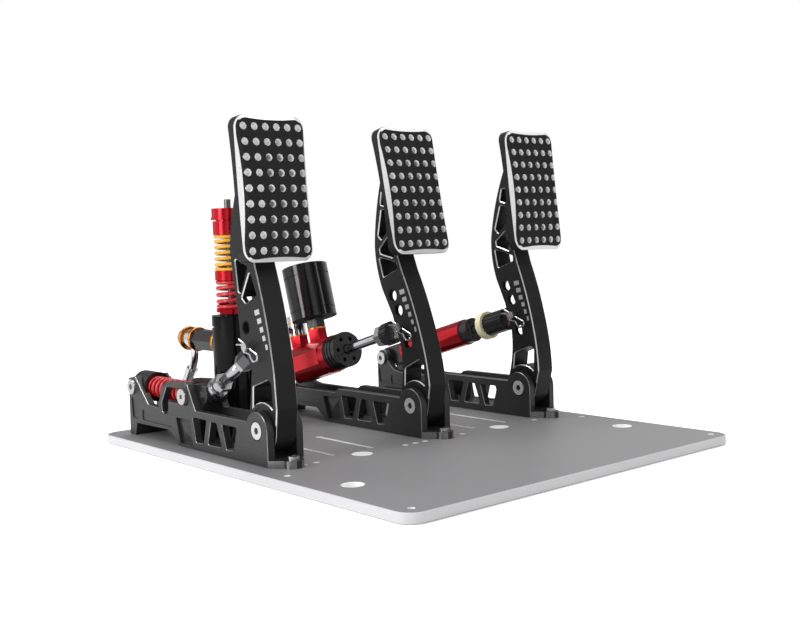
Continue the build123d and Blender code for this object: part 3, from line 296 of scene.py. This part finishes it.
def metal(name, colour, roughness, scale=(300, 300, 300), vary=0.12, bump=0.02 * mm,
          metallic=1.0, **values):
    """One metal with fine variation in its colour and sheen, and tool marks as a bump."""
    material, tree, shader = start_material(name, Metallic=metallic, **values)
    noise = grain(tree, scale)
    feed(tree, shader,
         Base_Color=blend(tree, noise, shaded(colour, 1 - vary), shaded(colour, 1 + vary)),
         Roughness=worn(tree, noise, *[roughness * share for share in metal_wear]))
    emboss(tree, shader, noise, bump)
    return material


bare_colour = (0.66, 0.66, 0.67, 1)
skin_shades = (0.75, 1.35)
skin_wear = (0.85, 1.2)
skin_bump = 0.02 * mm
bare_gloss = 0.7
# A low limit that takes in every lean of the surface
all_leans = -1


def edged(name, colour, roughness, low, high, direction, scale, metallic=0.0, edge=bare_colour,
          edge_metallic=1.0, covered=None, bared=None, sheen=0.2):
    """An anodised skin, with bare metal where facing a direction lies between low and high.

    Covered makes a mask in the tree that keeps the skin on, and bared one that takes it off.
    Edge is the bare colour, or a function that makes it in the tree."""
    material, tree, shader = start_material(name, Specular_IOR_Level=sheen)
    noise = grain(tree, scale)
    skin = blend(tree, noise, *[shaded(colour, share) for share in skin_shades])
    bare = within(tree, facing(tree, direction), low, high)
    if covered:
        bare = every(tree, bare, inverse(tree, covered(tree)))
    if bared:
        bare = either(tree, bare, bared(tree))
    skin_roughness = worn(tree, noise, *[roughness * share for share in skin_wear])
    feed(tree, shader,
         Base_Color=blend(tree, bare, skin, edge(tree) if callable(edge) else edge),
         Metallic=spread(tree, bare, 0, 1, metallic, edge_metallic),
         Roughness=maths(tree, "MULTIPLY", skin_roughness,
                         spread(tree, bare, 0, 1, 1.0, bare_gloss)))
    emboss(tree, shader, maths(tree, "MULTIPLY", noise, inverse(tree, bare)), skin_bump)
    return material


def dress(material, *names):
    for name in names:
        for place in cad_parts[name].material_slots:
            place.material = material


# Plate and bases
wall_reach = 5.0 * mm
sawn_edge = (0.62, 0.62, 0.63, 1)
# Painted light: near white for the walls of the plate's holes and slots, which lie in shade
hole_wall_painted_light = (0.97, 0.97, 0.97, 1)
dull_edge = (0.28, 0.28, 0.285, 1)


def plate_edge(tree):
    """Sawn aluminium round the plate, and near-white walls in its holes and slots: painted light
    where the holes lie in shade.
    """
    low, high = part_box("base_plate")
    inside = [within(tree, place_along(tree, axis), low.dot(axis) + wall_reach,
                     high.dot(axis) - wall_reach) for axis in (x_axis, y_axis)]
    return blend(tree, every(tree, *inside), sawn_edge, hole_wall_painted_light)


plate_grey = edged("plate_grey", (0.245, 0.242, 0.248), roughness=0.5, low=all_leans, high=0.9,
                   direction=z_axis, scale=(900, 900, 900), metallic=0.3, edge=plate_edge,
                   edge_metallic=0.2)
base_black = edged("base_black", (0.020, 0.020, 0.021), roughness=0.42, low=0.3, high=0.95,
                   direction=x_axis, scale=(30, 60, 700), edge=dull_edge, sheen=0.5)
dress(plate_grey, "base_plate")
dress(base_black, "clutch_base", "brake_base", "throttle_base")


# Plain metals of the CAD nodes
polished = 0.002 * mm
red_anodised = metal("red_anodised", (0.56, 0.012, 0.022), roughness=0.19, scale=(60, 900, 900),
                     vary=0.15, metallic=0.8)
satin_steel = metal("satin_steel", (0.62, 0.62, 0.62), roughness=0.5, scale=(400, 400, 400),
                    metallic=0.6)
bright_steel = metal("bright_steel", (0.52, 0.52, 0.53), roughness=0.24, scale=(200, 200, 200),
                     vary=0.08, bump=polished)
chrome = metal("chrome", (0.62, 0.62, 0.64), roughness=0.09, scale=(900, 40, 900), vary=0.04,
               bump=polished)
machined = metal("machined_aluminium", (0.46, 0.46, 0.47), roughness=0.22, scale=(60, 600, 600),
                 vary=0.08, bump=polished)
dark_chrome = metal("dark_chrome", (0.13, 0.13, 0.135), roughness=0.2, scale=(200, 200, 200),
                    vary=0.08, bump=polished)
dark_steel = metal("dark_steel", (0.16, 0.15, 0.15), roughness=0.3, scale=(200, 200, 900))
copper = metal("copper", (0.72, 0.30, 0.08), roughness=0.3, scale=(500, 500, 500))
black_metal = metal("black_metal", (0.012, 0.012, 0.013), roughness=0.3, scale=(300, 300, 60),
                    vary=0.3, metallic=0.0)
block_black = metal("block_black", (0.005, 0.005, 0.006), roughness=0.16, scale=(300, 60, 300),
                    vary=0.3, metallic=0.0, Specular_IOR_Level=0.25)

dress(red_anodised, "brake_cylinder", "slave_spacer", "slave_spring_cap")
dress(satin_steel, "pivot_bolts")
dress(bright_steel, "pivot_nuts", "rear_bolts", "rear_nuts", "foot_screws", "floor_screws",
      "clutch_pin", "brake_pin", "throttle_pin", "clutch_clip", "brake_clip", "throttle_clip",
      "brake_lock_nut", "clutch_link_pin", "clutch_stop_pin", "brake_banjo_bolt",
      "slave_banjo_bolt", "clutch_rod_end")
dress(chrome, "brake_push_rod", "throttle_push_rod", "slave_banjo", "brake_banjo")
dress(machined, "brake_clevis", "throttle_clevis")
dress(dark_chrome, "clutch_clevis")
dress(dark_steel, "slave_rod")
dress(copper, "port_washers")
dress(black_metal, "brake_collar", "throttle_knob", "brake_cylinder_cap", "throttle_damper_cap",
      "clutch_spring_cup", "clutch_slider", "reservoir_neck")
dress(block_black, "pressure_block")


# Finishes of single pieces
canister_side_roughness = 0.12
canister_end_roughness = 0.85
canister_end_lean = (0.7, 0.9)
slave_ring_height = 118.5 * mm
slave_ring_metallic = 0.85
damper_end_length = 36.0 * mm
damper_metallic = 0.8
fine_bump = 0.01 * mm
coarse_bump = 0.03 * mm


def canister_finish():
    """Gloss black sides and dull turned ends."""
    along = direction_between("reservoir_neck", "reservoir_cap")
    material, tree, shader = start_material("canister_black", Specular_IOR_Level=0.4)
    noise = grain(tree, (300, 300, 60))
    feed(tree, shader,
         Base_Color=blend(tree, noise, (0.006, 0.006, 0.007, 1), (0.011, 0.011, 0.012, 1)),
         Roughness=spread(tree, facing(tree, along), *canister_end_lean,
                          canister_side_roughness, canister_end_roughness))
    emboss(tree, shader, noise, fine_bump)
    return material


def slave_finish():
    """Gloss black with a red ring on top."""
    material, tree, shader = start_material("slave_body", Roughness=0.07, Specular_IOR_Level=0.12)
    noise = grain(tree, (200, 200, 60))
    ring = above(tree, place_along(tree, z_axis), slave_ring_height)
    black = blend(tree, noise, (0.003, 0.003, 0.0035, 1), (0.005, 0.005, 0.0055, 1))
    feed(tree, shader, Base_Color=blend(tree, ring, black, (0.42, 0.008, 0.016, 1)),
         Metallic=maths(tree, "MULTIPLY", ring, slave_ring_metallic))
    emboss(tree, shader, noise, fine_bump)
    return material


def damper_finish():
    """Red anodised, with a black end furthest from the cap."""
    along = direction_between("throttle_damper_cap", "throttle_damper")
    middle, half = span_along("throttle_damper", along)
    material, tree, shader = start_material("damper_red")
    noise = grain(tree, (60, 900, 900))
    end = above(tree, place_along(tree, along), middle + half - damper_end_length)
    red = blend(tree, noise, (0.47, 0.010, 0.019, 1), (0.64, 0.014, 0.025, 1))
    feed(tree, shader, Base_Color=blend(tree, end, red, (0.013, 0.013, 0.014, 1)),
         Metallic=spread(tree, end, 0, 1, damper_metallic, 0.0),
         Roughness=worn(tree, noise, smooth=0.16, rough=0.24))
    emboss(tree, shader, noise, skin_bump)
    return material


def bumper_finish():
    """Cream cast polyurethane, slightly clear."""
    material, tree, shader = start_material("bumper_ring", Roughness=0.35, Subsurface_Weight=0.4,
                                            Subsurface_Scale=4 * mm)
    noise = grain(tree, (90, 90, 90))
    feed(tree, shader,
         Base_Color=blend(tree, noise, (0.72, 0.68, 0.42, 1), (0.84, 0.81, 0.58, 1)))
    emboss(tree, shader, noise, coarse_bump)
    return material


dress(canister_finish(), "reservoir", "reservoir_cap")
dress(slave_finish(), "slave_cylinder")
dress(damper_finish(), "throttle_damper")
dress(bumper_finish(), "throttle_bumper")


# Pads: black faces drawn in at the middle of each side, in a bare bevel, with black sides
pad_corner = 10.0 * mm
rim_margin = 0.15 * mm
rim_width = 1.3 * mm
side_margin = 1.6 * mm
side_share = 0.35
face_half_width = 28.7 * mm
face_half_height = 50.6 * mm
waist_length = 0.8
hole_wall_share = 0.5


def pad_finish(pedal):
    """Black but for the bevel round the face and the walls of the holes."""
    pad = f"{pedal}_pad"
    right, up, front = pad_axes(pad)

    def skin(tree):
        """The sides all round and the face in its own outline, where the black stays on."""
        offs, past = [], []
        for axis in (right, up):
            middle, half = span_along(pad, axis)
            offs.append(off_from(tree, axis, middle))
            straight = half - pad_corner
            past.append(maths(tree, "MAXIMUM", maths(tree, "SUBTRACT", offs[-1], straight), 0.0))
        reach = hypotenuse(tree, *past)
        outer = above(tree, reach, pad_corner - rim_margin)
        side = every(tree, above(tree, reach, pad_corner - side_margin),
                     below(tree, facing(tree, front), side_share))
        face = every(tree, below(tree, reach, pad_corner - rim_width),
                     above(tree, facing(tree, front), hole_wall_share),
                     drawn_in(tree, offs[0], offs[1], face_half_width),
                     drawn_in(tree, offs[1], offs[0], face_half_height))
        return either(tree, outer, side, face)

    def drawn_in(tree, off, other, narrow):
        """Inside a curved side, narrowest where the other offset is 0."""
        widening = maths(tree, "MULTIPLY", maths(tree, "POWER", other, 2.0), 1 / waist_length)
        return below(tree, off, maths(tree, "ADD", widening, narrow))

    return edged(f"{pad}_finish", (0.011, 0.011, 0.012), roughness=0.45, low=all_leans,
                 high=0.965, direction=front, scale=(500, 60, 500), edge=(0.86, 0.86, 0.87, 1),
                 edge_metallic=0.35, covered=skin)


# Arms: how each leans, and its round holes in its own side view in millimetres
arm_leans = {"clutch": 0.0, "brake": 0.0, "throttle": 0.081}
plain_holes = [(27.0, 94.8), (19.6, 82.0), (8.2, 54.1)]
arm_holes = {"clutch": [(19.7, 79.0)], "brake": plain_holes, "throttle": plain_holes}
hole_rim_radius = 6.0 * mm
seat_reach = 2.0 * mm
seat_share = 0.9


def arm_finish(pedal):
    """Brushed black with bare bevels but for its round holes, and bare where the pad is seated."""
    pad = f"{pedal}_pad"
    right, up, front = pad_axes(pad)
    middle, half = span_along(pad, up)
    level, depth_half = span_along(pad, front)

    def seat(tree):
        return every(tree, above(tree, facing(tree, front), seat_share),
                     above(tree, place_along(tree, up), middle - half),
                     above(tree, place_along(tree, front), level - depth_half - seat_reach))

    def hole_rims(tree):
        rims = []
        for v, w in arm_holes[pedal]:
            y, z = arm_place(v * mm, w * mm, arm_leans[pedal])
            reach = hypotenuse(tree, off_from(tree, y_axis, y), off_from(tree, z_axis, z))
            rims.append(below(tree, reach, hole_rim_radius))
        return either(tree, *rims)

    return edged(f"{pedal}_arm_finish", (0.012, 0.012, 0.0125), roughness=0.42, low=0.3,
                 high=0.95, direction=x_axis, scale=(30, 700, 50), covered=hole_rims, bared=seat)


# Countersinks of the pads' holes
pad_columns = 6
pad_rows = 9
hole_radius = 3.0 * mm
column_pitch = 10.0 * mm
row_pitch = 11.74 * mm
sink_depth = 1.6 * mm
sink_share = 0.72
sink_sides = 20
sink_proud = 0.03 * mm
face_reach = 0.15 * mm
sink_metal = metal("countersink", (0.96, 0.96, 0.96), roughness=0.36, metallic=0.1)


def new_countersinks(pedal):
    """A bright turned cone in the mouth of each hole of a pad, set on the pad's curved face."""
    pad = f"{pedal}_pad"
    right, up, front = pad_axes(pad)
    level, depth_half = span_along(pad, front)
    centre = right * span_along(pad, right)[0] + up * span_along(pad, up)[0] + front * level
    spokes = circle(right, up, sink_sides)
    vertices, faces = [], []

    def face_height(place):
        """How far the pad's face lies in front of its middle there."""
        found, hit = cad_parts[pad].ray_cast(place + front * 2 * depth_half, -front)[:2]
        return (hit - place).dot(front) if found else 0.0

    for column in range(pad_columns):
        for row in range(pad_rows):
            middle = (centre + right * (column - (pad_columns - 1) / 2) * column_pitch
                      + up * (row - (pad_rows - 1) / 2) * row_pitch)
            heights = [face_height(middle + spoke * (hole_radius + face_reach))
                       for spoke in spokes]
            faces += band(len(vertices), sink_sides)
            for radius, depth in ((hole_radius, -sink_proud),
                                  (hole_radius * sink_share, sink_depth)):
                vertices += [middle + spoke * radius + front * (height - depth)
                             for spoke, height in zip(spokes, heights)]
    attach(new_mesh(f"{pedal}_countersinks", vertices, faces, sink_metal, smooth=True),
            f"{pedal}_pedal")


for pedal in pedals:
    dress(pad_finish(pedal), f"{pedal}_pad")
    dress(arm_finish(pedal), f"{pedal}_arm")
    new_countersinks(pedal)


# Painted shade: dark hexagons on the floors of hexagon sockets
socket_radius = 2.6 * mm
socket_inset = 0.8 * mm
stop_socket_radius = 2.2 * mm
stop_socket_lift = 0.05 * mm
# Near-black paint that stands for the shade inside the sockets
socket_painted_shade = metal("socket_painted_shade", (0.02, 0.02, 0.02), roughness=0.35, metallic=0.5)


def new_sockets(name, body, places, radius):
    """Dark hexagons of painted shade that face left at these places."""
    vertices, faces = [], []
    for place in places:
        start = len(vertices)
        faces.append(tuple(range(start + hexagon_sides - 1, start - 1, -1)))
        vertices += [place + spoke * radius for spoke in circle(y_axis, z_axis, hexagon_sides)]
    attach(new_mesh(name, vertices, faces, socket_painted_shade), body)


stop_pin = middle_of("clutch_stop_pin")
stop_pin.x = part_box("clutch_stop_pin")[0].x - stop_socket_lift
new_sockets("pivot_sockets", "base",
            [Vector((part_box(f"{pedal}_base")[0].x + socket_inset, pivot_y, pivot_z))
             for pedal in pedals], socket_radius)
new_sockets("stop_pin_socket", "slider", [stop_pin], stop_socket_radius)


# Clutch link: a smooth rod and slimmer nuts in place of the CAD's. Each step has where it starts
# and ends, from the link's pin, and its radius, in millimetres, and its sides.
link_rod_steps = [(29.5, 34.5, 8.0, hexagon_sides), (34.5, 68.0, 4.7, round_sides)]
link_nut_steps = [(68.0, 73.5, 8.4, hexagon_sides), (73.5, 78.0, 6.8, round_sides)]


def new_link_piece(node, steps):
    """Round and hexagonal steps along the link's axis, in place of a node."""
    nut = middle_of("clutch_lock_nut")
    pin = Vector((nut.x, *middle_of("clutch_pin").yz))
    along = (nut - pin).normalized()
    vertices, faces, smooth = [], [], []
    for low, high, radius, sides in steps:
        start = len(vertices)
        for level in (low, high):
            vertices += [pin + along * level * mm + spoke * radius * mm
                         for spoke in circle(x_axis, along.cross(x_axis), sides)]
        faces += band(start, sides)
        faces.append(tuple(range(start + sides - 1, start - 1, -1)))
        faces.append(tuple(range(start + sides, start + 2 * sides)))
        smooth += [sides == round_sides] * sides + [False, False]
    piece = new_mesh(f"{node}_turned", vertices, faces, machined)
    piece.data.polygons.foreach_set("use_smooth", smooth)
    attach(piece, "clutch_link")
    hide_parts(node)


new_link_piece("clutch_push_rod", link_rod_steps)
new_link_piece("clutch_lock_nut", link_nut_steps)


# Bonded washers of the pressure block, wider than the block, in place of the plain ones
seal_radius = 11.4 * mm
seal_bore = 4.5 * mm
seal_edge = 0.7 * mm
level_digits = 2
seal_metal = metal("bonded_seal", (0.55, 0.22, 0.045), roughness=0.28, scale=(500, 500, 500))


def new_seals():
    """A ring with rounded edges for each washer, as thick as the washer."""
    centre = middle_of("slave_washers")
    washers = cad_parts["slave_washers"].data
    levels = sorted({round(vertex.co.y / mm, level_digits) for vertex in washers.vertices})
    vertices, faces = [], []
    for start_level, end_level in zip(levels[::2], levels[1::2]):
        near, far = start_level * mm, end_level * mm
        profile = [(seal_bore, near), (seal_radius - seal_edge, near),
                   (seal_radius, near + seal_edge), (seal_radius, far - seal_edge),
                   (seal_radius - seal_edge, far), (seal_bore, far)]
        start, corners = len(vertices), len(profile)
        for spoke in circle(x_axis, z_axis, round_sides):
            vertices += [Vector((centre.x, y, centre.z)) + spoke * radius
                         for radius, y in profile]
        for step in range(round_sides):
            here = start + step * corners
            beside = start + (step + 1) % round_sides * corners
            for corner in range(corners):
                after = (corner + 1) % corners
                faces.append((here + corner, here + after, beside + after, beside + corner))
    piece = new_mesh("slave_seals", vertices, faces, seal_metal, smooth=True)
    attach(piece, "base")
    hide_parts("slave_washers")


new_seals()


# Springs: smooth round wire in place of the CAD coils
points_per_turn = 24
coil_clearance = 0.05 * mm
closed_turns = 0.7
coat_shade = 0.85


def painted(name, colour):
    """A thick powder coat on wire."""
    material, tree, shader = start_material(name, Coat_Weight=0.35, Coat_Roughness=0.15)
    noise = grain(tree, (700, 700, 700))
    feed(tree, shader,
         Base_Color=blend(tree, noise, shaded(colour, coat_shade), shaded(colour, 1)),
         Roughness=worn(tree, noise, smooth=0.28, rough=0.4))
    emboss(tree, shader, noise, coarse_bump)
    return material


def coil_points(node, axis, turns, wire_radius):
    """A helix that fills a coil node's box along one axis, with its end turns laid flat."""
    low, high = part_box(node)
    middle = (low + high) / 2
    first, second = [other for other in range(3) if other != axis]
    mean_radius = (high[first] - low[first]) / 2 - wire_radius
    bottom, top = low[axis] + wire_radius + coil_clearance, high[axis] - wire_radius - coil_clearance
    axes = (x_axis, y_axis, z_axis)
    spokes = circle(axes[first], axes[second], points_per_turn)
    places = []
    for step in range(turns * points_per_turn + 1):
        place = middle + spokes[step % points_per_turn] * mean_radius
        rise = (step / points_per_turn - closed_turns) / (turns - 2 * closed_turns)
        place[axis] = bottom + (top - bottom) * min(1, max(0, rise))
        places.append(place)
    return places


def new_spring(node, axis, turns, wire_radius, material):
    """A round wire mesh in the place of a coil node."""
    curve = new_curve(f"{node}_path", material, wire_radius,
                      coil_points(node, axis, turns, wire_radius))
    mesh = bpy.data.meshes.new_from_object(curve.evaluated_get(
        bpy.context.evaluated_depsgraph_get()))
    bpy.data.objects.remove(curve)
    piece = add_object(f"{node}_wire", mesh)
    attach(piece, "base")
    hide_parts(node)
    return piece


red_coat = painted("red_coat", (0.56, 0.012, 0.018))
yellow_coat = painted("yellow_coat", (0.84, 0.42, 0.015))
new_spring("slave_spring_lower", axis=2, turns=5, wire_radius=1.9 * mm, material=red_coat)
new_spring("slave_spring_upper", axis=2, turns=7, wire_radius=1.5 * mm, material=yellow_coat)
clutch_spring = new_spring("clutch_spring", axis=1, turns=11, wire_radius=1.8 * mm,
                           material=red_coat)
spring_low, spring_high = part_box("clutch_spring")
spring_end = middle_of("clutch_spring")
spring_end.y = spring_high.y
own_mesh(clutch_spring)


# Hydraulic hose, with the route of the part's source in millimetres
hose_radius = 3.4 * mm
hose_points = [
    (-101.0, 197.3, 49.6), (-101.0, 207.0, 31.0), (-84.0, 208.0, 26.5), (-67.0, 202.0, 33.0),
    (-50.0, 190.0, 54.0), (-40.0, 177.5, 81.0), (-34.0, 171.5, 91.64), (-22.7, 171.52, 91.64),
]
# How far the weave turns over the whole length, and its strands each way
weave_turn = 330.0
weave_strands = 8
weave_depth = 0.25 * mm
wire_level = 0.5
gap_shade = (0.10, 0.10, 0.105, 1)
wire_shade = (0.72, 0.72, 0.73, 1)


def braided():
    """Woven steel wire: two crossing sets of fine ridges, along and around the hose."""
    material, tree, shader = start_material("braided_steel", Metallic=0.85, Roughness=0.36)
    parts = put(tree, "ShaderNodeSeparateXYZ", {0: coordinates(tree, "UV")})
    along, around = parts.outputs[0], parts.outputs[1]
    ridges = []
    for hand in (1, -1):
        slope = maths(tree, "ADD", maths(tree, "MULTIPLY", along, weave_turn),
                      maths(tree, "MULTIPLY", around, hand * 2 * pi * weave_strands))
        ridges.append(maths(tree, "ABSOLUTE", maths(tree, "SINE", slope)))
    weave = maths(tree, "MULTIPLY", *ridges)
    feed(tree, shader,
         Base_Color=blend(tree, spread(tree, weave, 0.0, wire_level, 0, 1), gap_shade, wire_shade))
    emboss(tree, shader, weave, weave_depth, strength=1.0)
    return material


hose = new_curve("brake_line", braided(), hose_radius,
                 [Vector(point) * mm for point in hose_points])
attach(hose, "base")
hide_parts("brake_hose")


# Printed marks on the arms' left sides, beside the pin holes and wider towards the top, in each
# arm's own side view in millimetres
plain_marks = [(16.9, 97.8), (13.5, 91.4), (9.8, 85.0), (6.0, 78.7), (2.4, 72.3), (-1.6, 66.2)]
clutch_marks = [(5.9, 91.0), (2.6, 84.5), (-0.6, 77.9), (-3.8, 71.5), (-7.4, 64.9)]
arm_marks = {"clutch": clutch_marks, "brake": plain_marks, "throttle": plain_marks}
print_thickness = 0.06 * mm
mark_height = 4.0 * mm
first_width = 6.4 * mm
width_step = 0.85 * mm
mark_slant = 0.25
print_ink = metal("print_ink", (0.44, 0.43, 0.44), roughness=0.5, metallic=0.0)


def new_marks(pedal):
    """Slanted bars on the arm, with their right edges towards the driver."""
    side_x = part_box(f"{pedal}_arm")[0].x - print_thickness
    vertices, faces = [], []
    for index, (v, w) in enumerate(arm_marks[pedal]):
        width = first_width - index * width_step
        corners = ((0, -0.5), (width, -0.5), (width, 0.5), (0, 0.5))
        faces.append(tuple(range(len(vertices), len(vertices) + len(corners))))
        for inset, rise in corners:
            y, z = arm_place(v * mm - inset + rise * mark_slant * mark_height,
                             w * mm + rise * mark_height + inset * mark_slant, arm_leans[pedal])
            vertices.append((side_x, y, z))
    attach(new_mesh(f"{pedal}_pedal_marks", vertices, faces, print_ink), f"{pedal}_pedal")


for pedal in pedals:
    new_marks(pedal)


# Floor
floor_half = 6.0
floor_drop = 0.2 * mm
floor_lift = 0.5
white = (1, 1, 1, 1)


def new_floor():
    """Pale paint that takes the shadow and is lifted towards white for the camera alone."""
    material, tree, shader = start_material("floor_paint", Roughness=0.95,
                                            Specular_IOR_Level=0.0, Emission_Color=white)
    camera_ray = put(tree, "ShaderNodeLightPath", {}).outputs["Is Camera Ray"]
    feed(tree, shader,
         Base_Color=blend(tree, grain(tree, (4, 4, 4)), (0.90, 0.90, 0.90, 1),
                          (0.92, 0.92, 0.92, 1)),
         Emission_Strength=maths(tree, "MULTIPLY", camera_ray, floor_lift))
    corners = [(x * floor_half, y * floor_half, 0) for x, y in ((-1, -1), (1, -1), (1, 1), (-1, 1))]
    floor = new_mesh("floor", corners, [(0, 1, 2, 3)], material)
    floor.location.z = -floor_drop


# World: bright and dark screens all round, a ceiling, and a white background
screen_count = 3.0
screen_turn = 0.9
screen_blur = 0.3
dark_screen = 0.12
bright_screen = 0.95
ceiling = 0.6
ceiling_rise = (0.55, 0.75)
glossy_share = 0.12


def new_world():
    """Soft light from the screens, and white for the camera and in part for reflections."""
    world = bpy.data.worlds.new("studio")
    world.use_nodes = True
    tree = world.node_tree
    path = put(tree, "ShaderNodeLightPath", {})
    seen = maths(tree, "MAXIMUM", path.outputs["Is Camera Ray"],
                 maths(tree, "MULTIPLY", path.outputs["Is Glossy Ray"], glossy_share))
    parts = put(tree, "ShaderNodeSeparateXYZ", {0: coordinates(tree, "Generated")})
    bearing = maths(tree, "ARCTAN2", parts.outputs["Y"], parts.outputs["X"])
    wave = maths(tree, "SINE", maths(tree, "ADD", maths(tree, "MULTIPLY", bearing, screen_count),
                                     screen_turn))
    screens = spread(tree, wave, -screen_blur, screen_blur, dark_screen, bright_screen)
    overhead = spread(tree, parts.outputs["Z"], *ceiling_rise, 0, 1)
    around = maths(tree, "ADD", maths(tree, "MULTIPLY", screens, inverse(tree, overhead)),
                   maths(tree, "MULTIPLY", overhead, ceiling))
    lit = maths(tree, "MULTIPLY", around, inverse(tree, seen))
    background = tree.nodes["Background"]
    background.inputs["Color"].default_value = white
    feed(tree, background, Strength=maths(tree, "ADD", lit, seen))
    bpy.context.scene.world = world


def new_light(name, place, target, width, height, power):
    data = bpy.data.lights.new(name, "AREA")
    data.shape = "RECTANGLE"
    data.size, data.size_y = width, height
    data.energy = power
    light = add_object(name, data)
    light.location = place
    light.rotation_euler = (Vector(target) - Vector(place)).to_track_quat("-Z", "Y").to_euler()


# Camera: the photograph's width and the focal length in pixels, the sensor's width in
# millimetres, and where the camera stands and how it is turned
photo_width = 800
focal_pixels = 1084.102
sensor_width = 36.0
camera_place = Vector((-0.6159, -0.7251, 0.1825))
camera_yaw = 0.706
camera_pitch = 0.077
camera_roll = -0.031


def new_camera():
    """Turned by its yaw from +Y towards +X, tilted down by its pitch, and rolled."""
    forward = Vector((sin(camera_yaw) * cos(camera_pitch), cos(camera_yaw) * cos(camera_pitch),
                      -sin(camera_pitch)))
    level = Vector((cos(camera_yaw), -sin(camera_yaw), 0))
    upright = level.cross(forward)
    right = level * cos(camera_roll) + upright * sin(camera_roll)
    up = upright * cos(camera_roll) - level * sin(camera_roll)
    data = bpy.data.cameras.new("camera")
    data.sensor_width = sensor_width
    data.lens = focal_pixels / photo_width * sensor_width
    camera = add_object("camera", data)
    turn = Matrix((right, up, -forward)).transposed().to_4x4()
    camera.matrix_world = Matrix.Translation(camera_place) @ turn
    bpy.context.scene.camera = camera


bpy.context.scene.view_settings.view_transform = "Standard"
new_floor()
new_world()
new_light("key", (-1.5, 0.1, 0.7), target=(0, 0, 0.1), width=0.5, height=1.2, power=16)
new_light("front", (0.9, -1.5, 0.9), target=(0, 0, 0.1), width=0.2, height=1.4, power=3)
new_light("top", (0.1, 0.4, 1.7), target=(0, 0, 0.0), width=1.2, height=0.5, power=16)
new_camera()
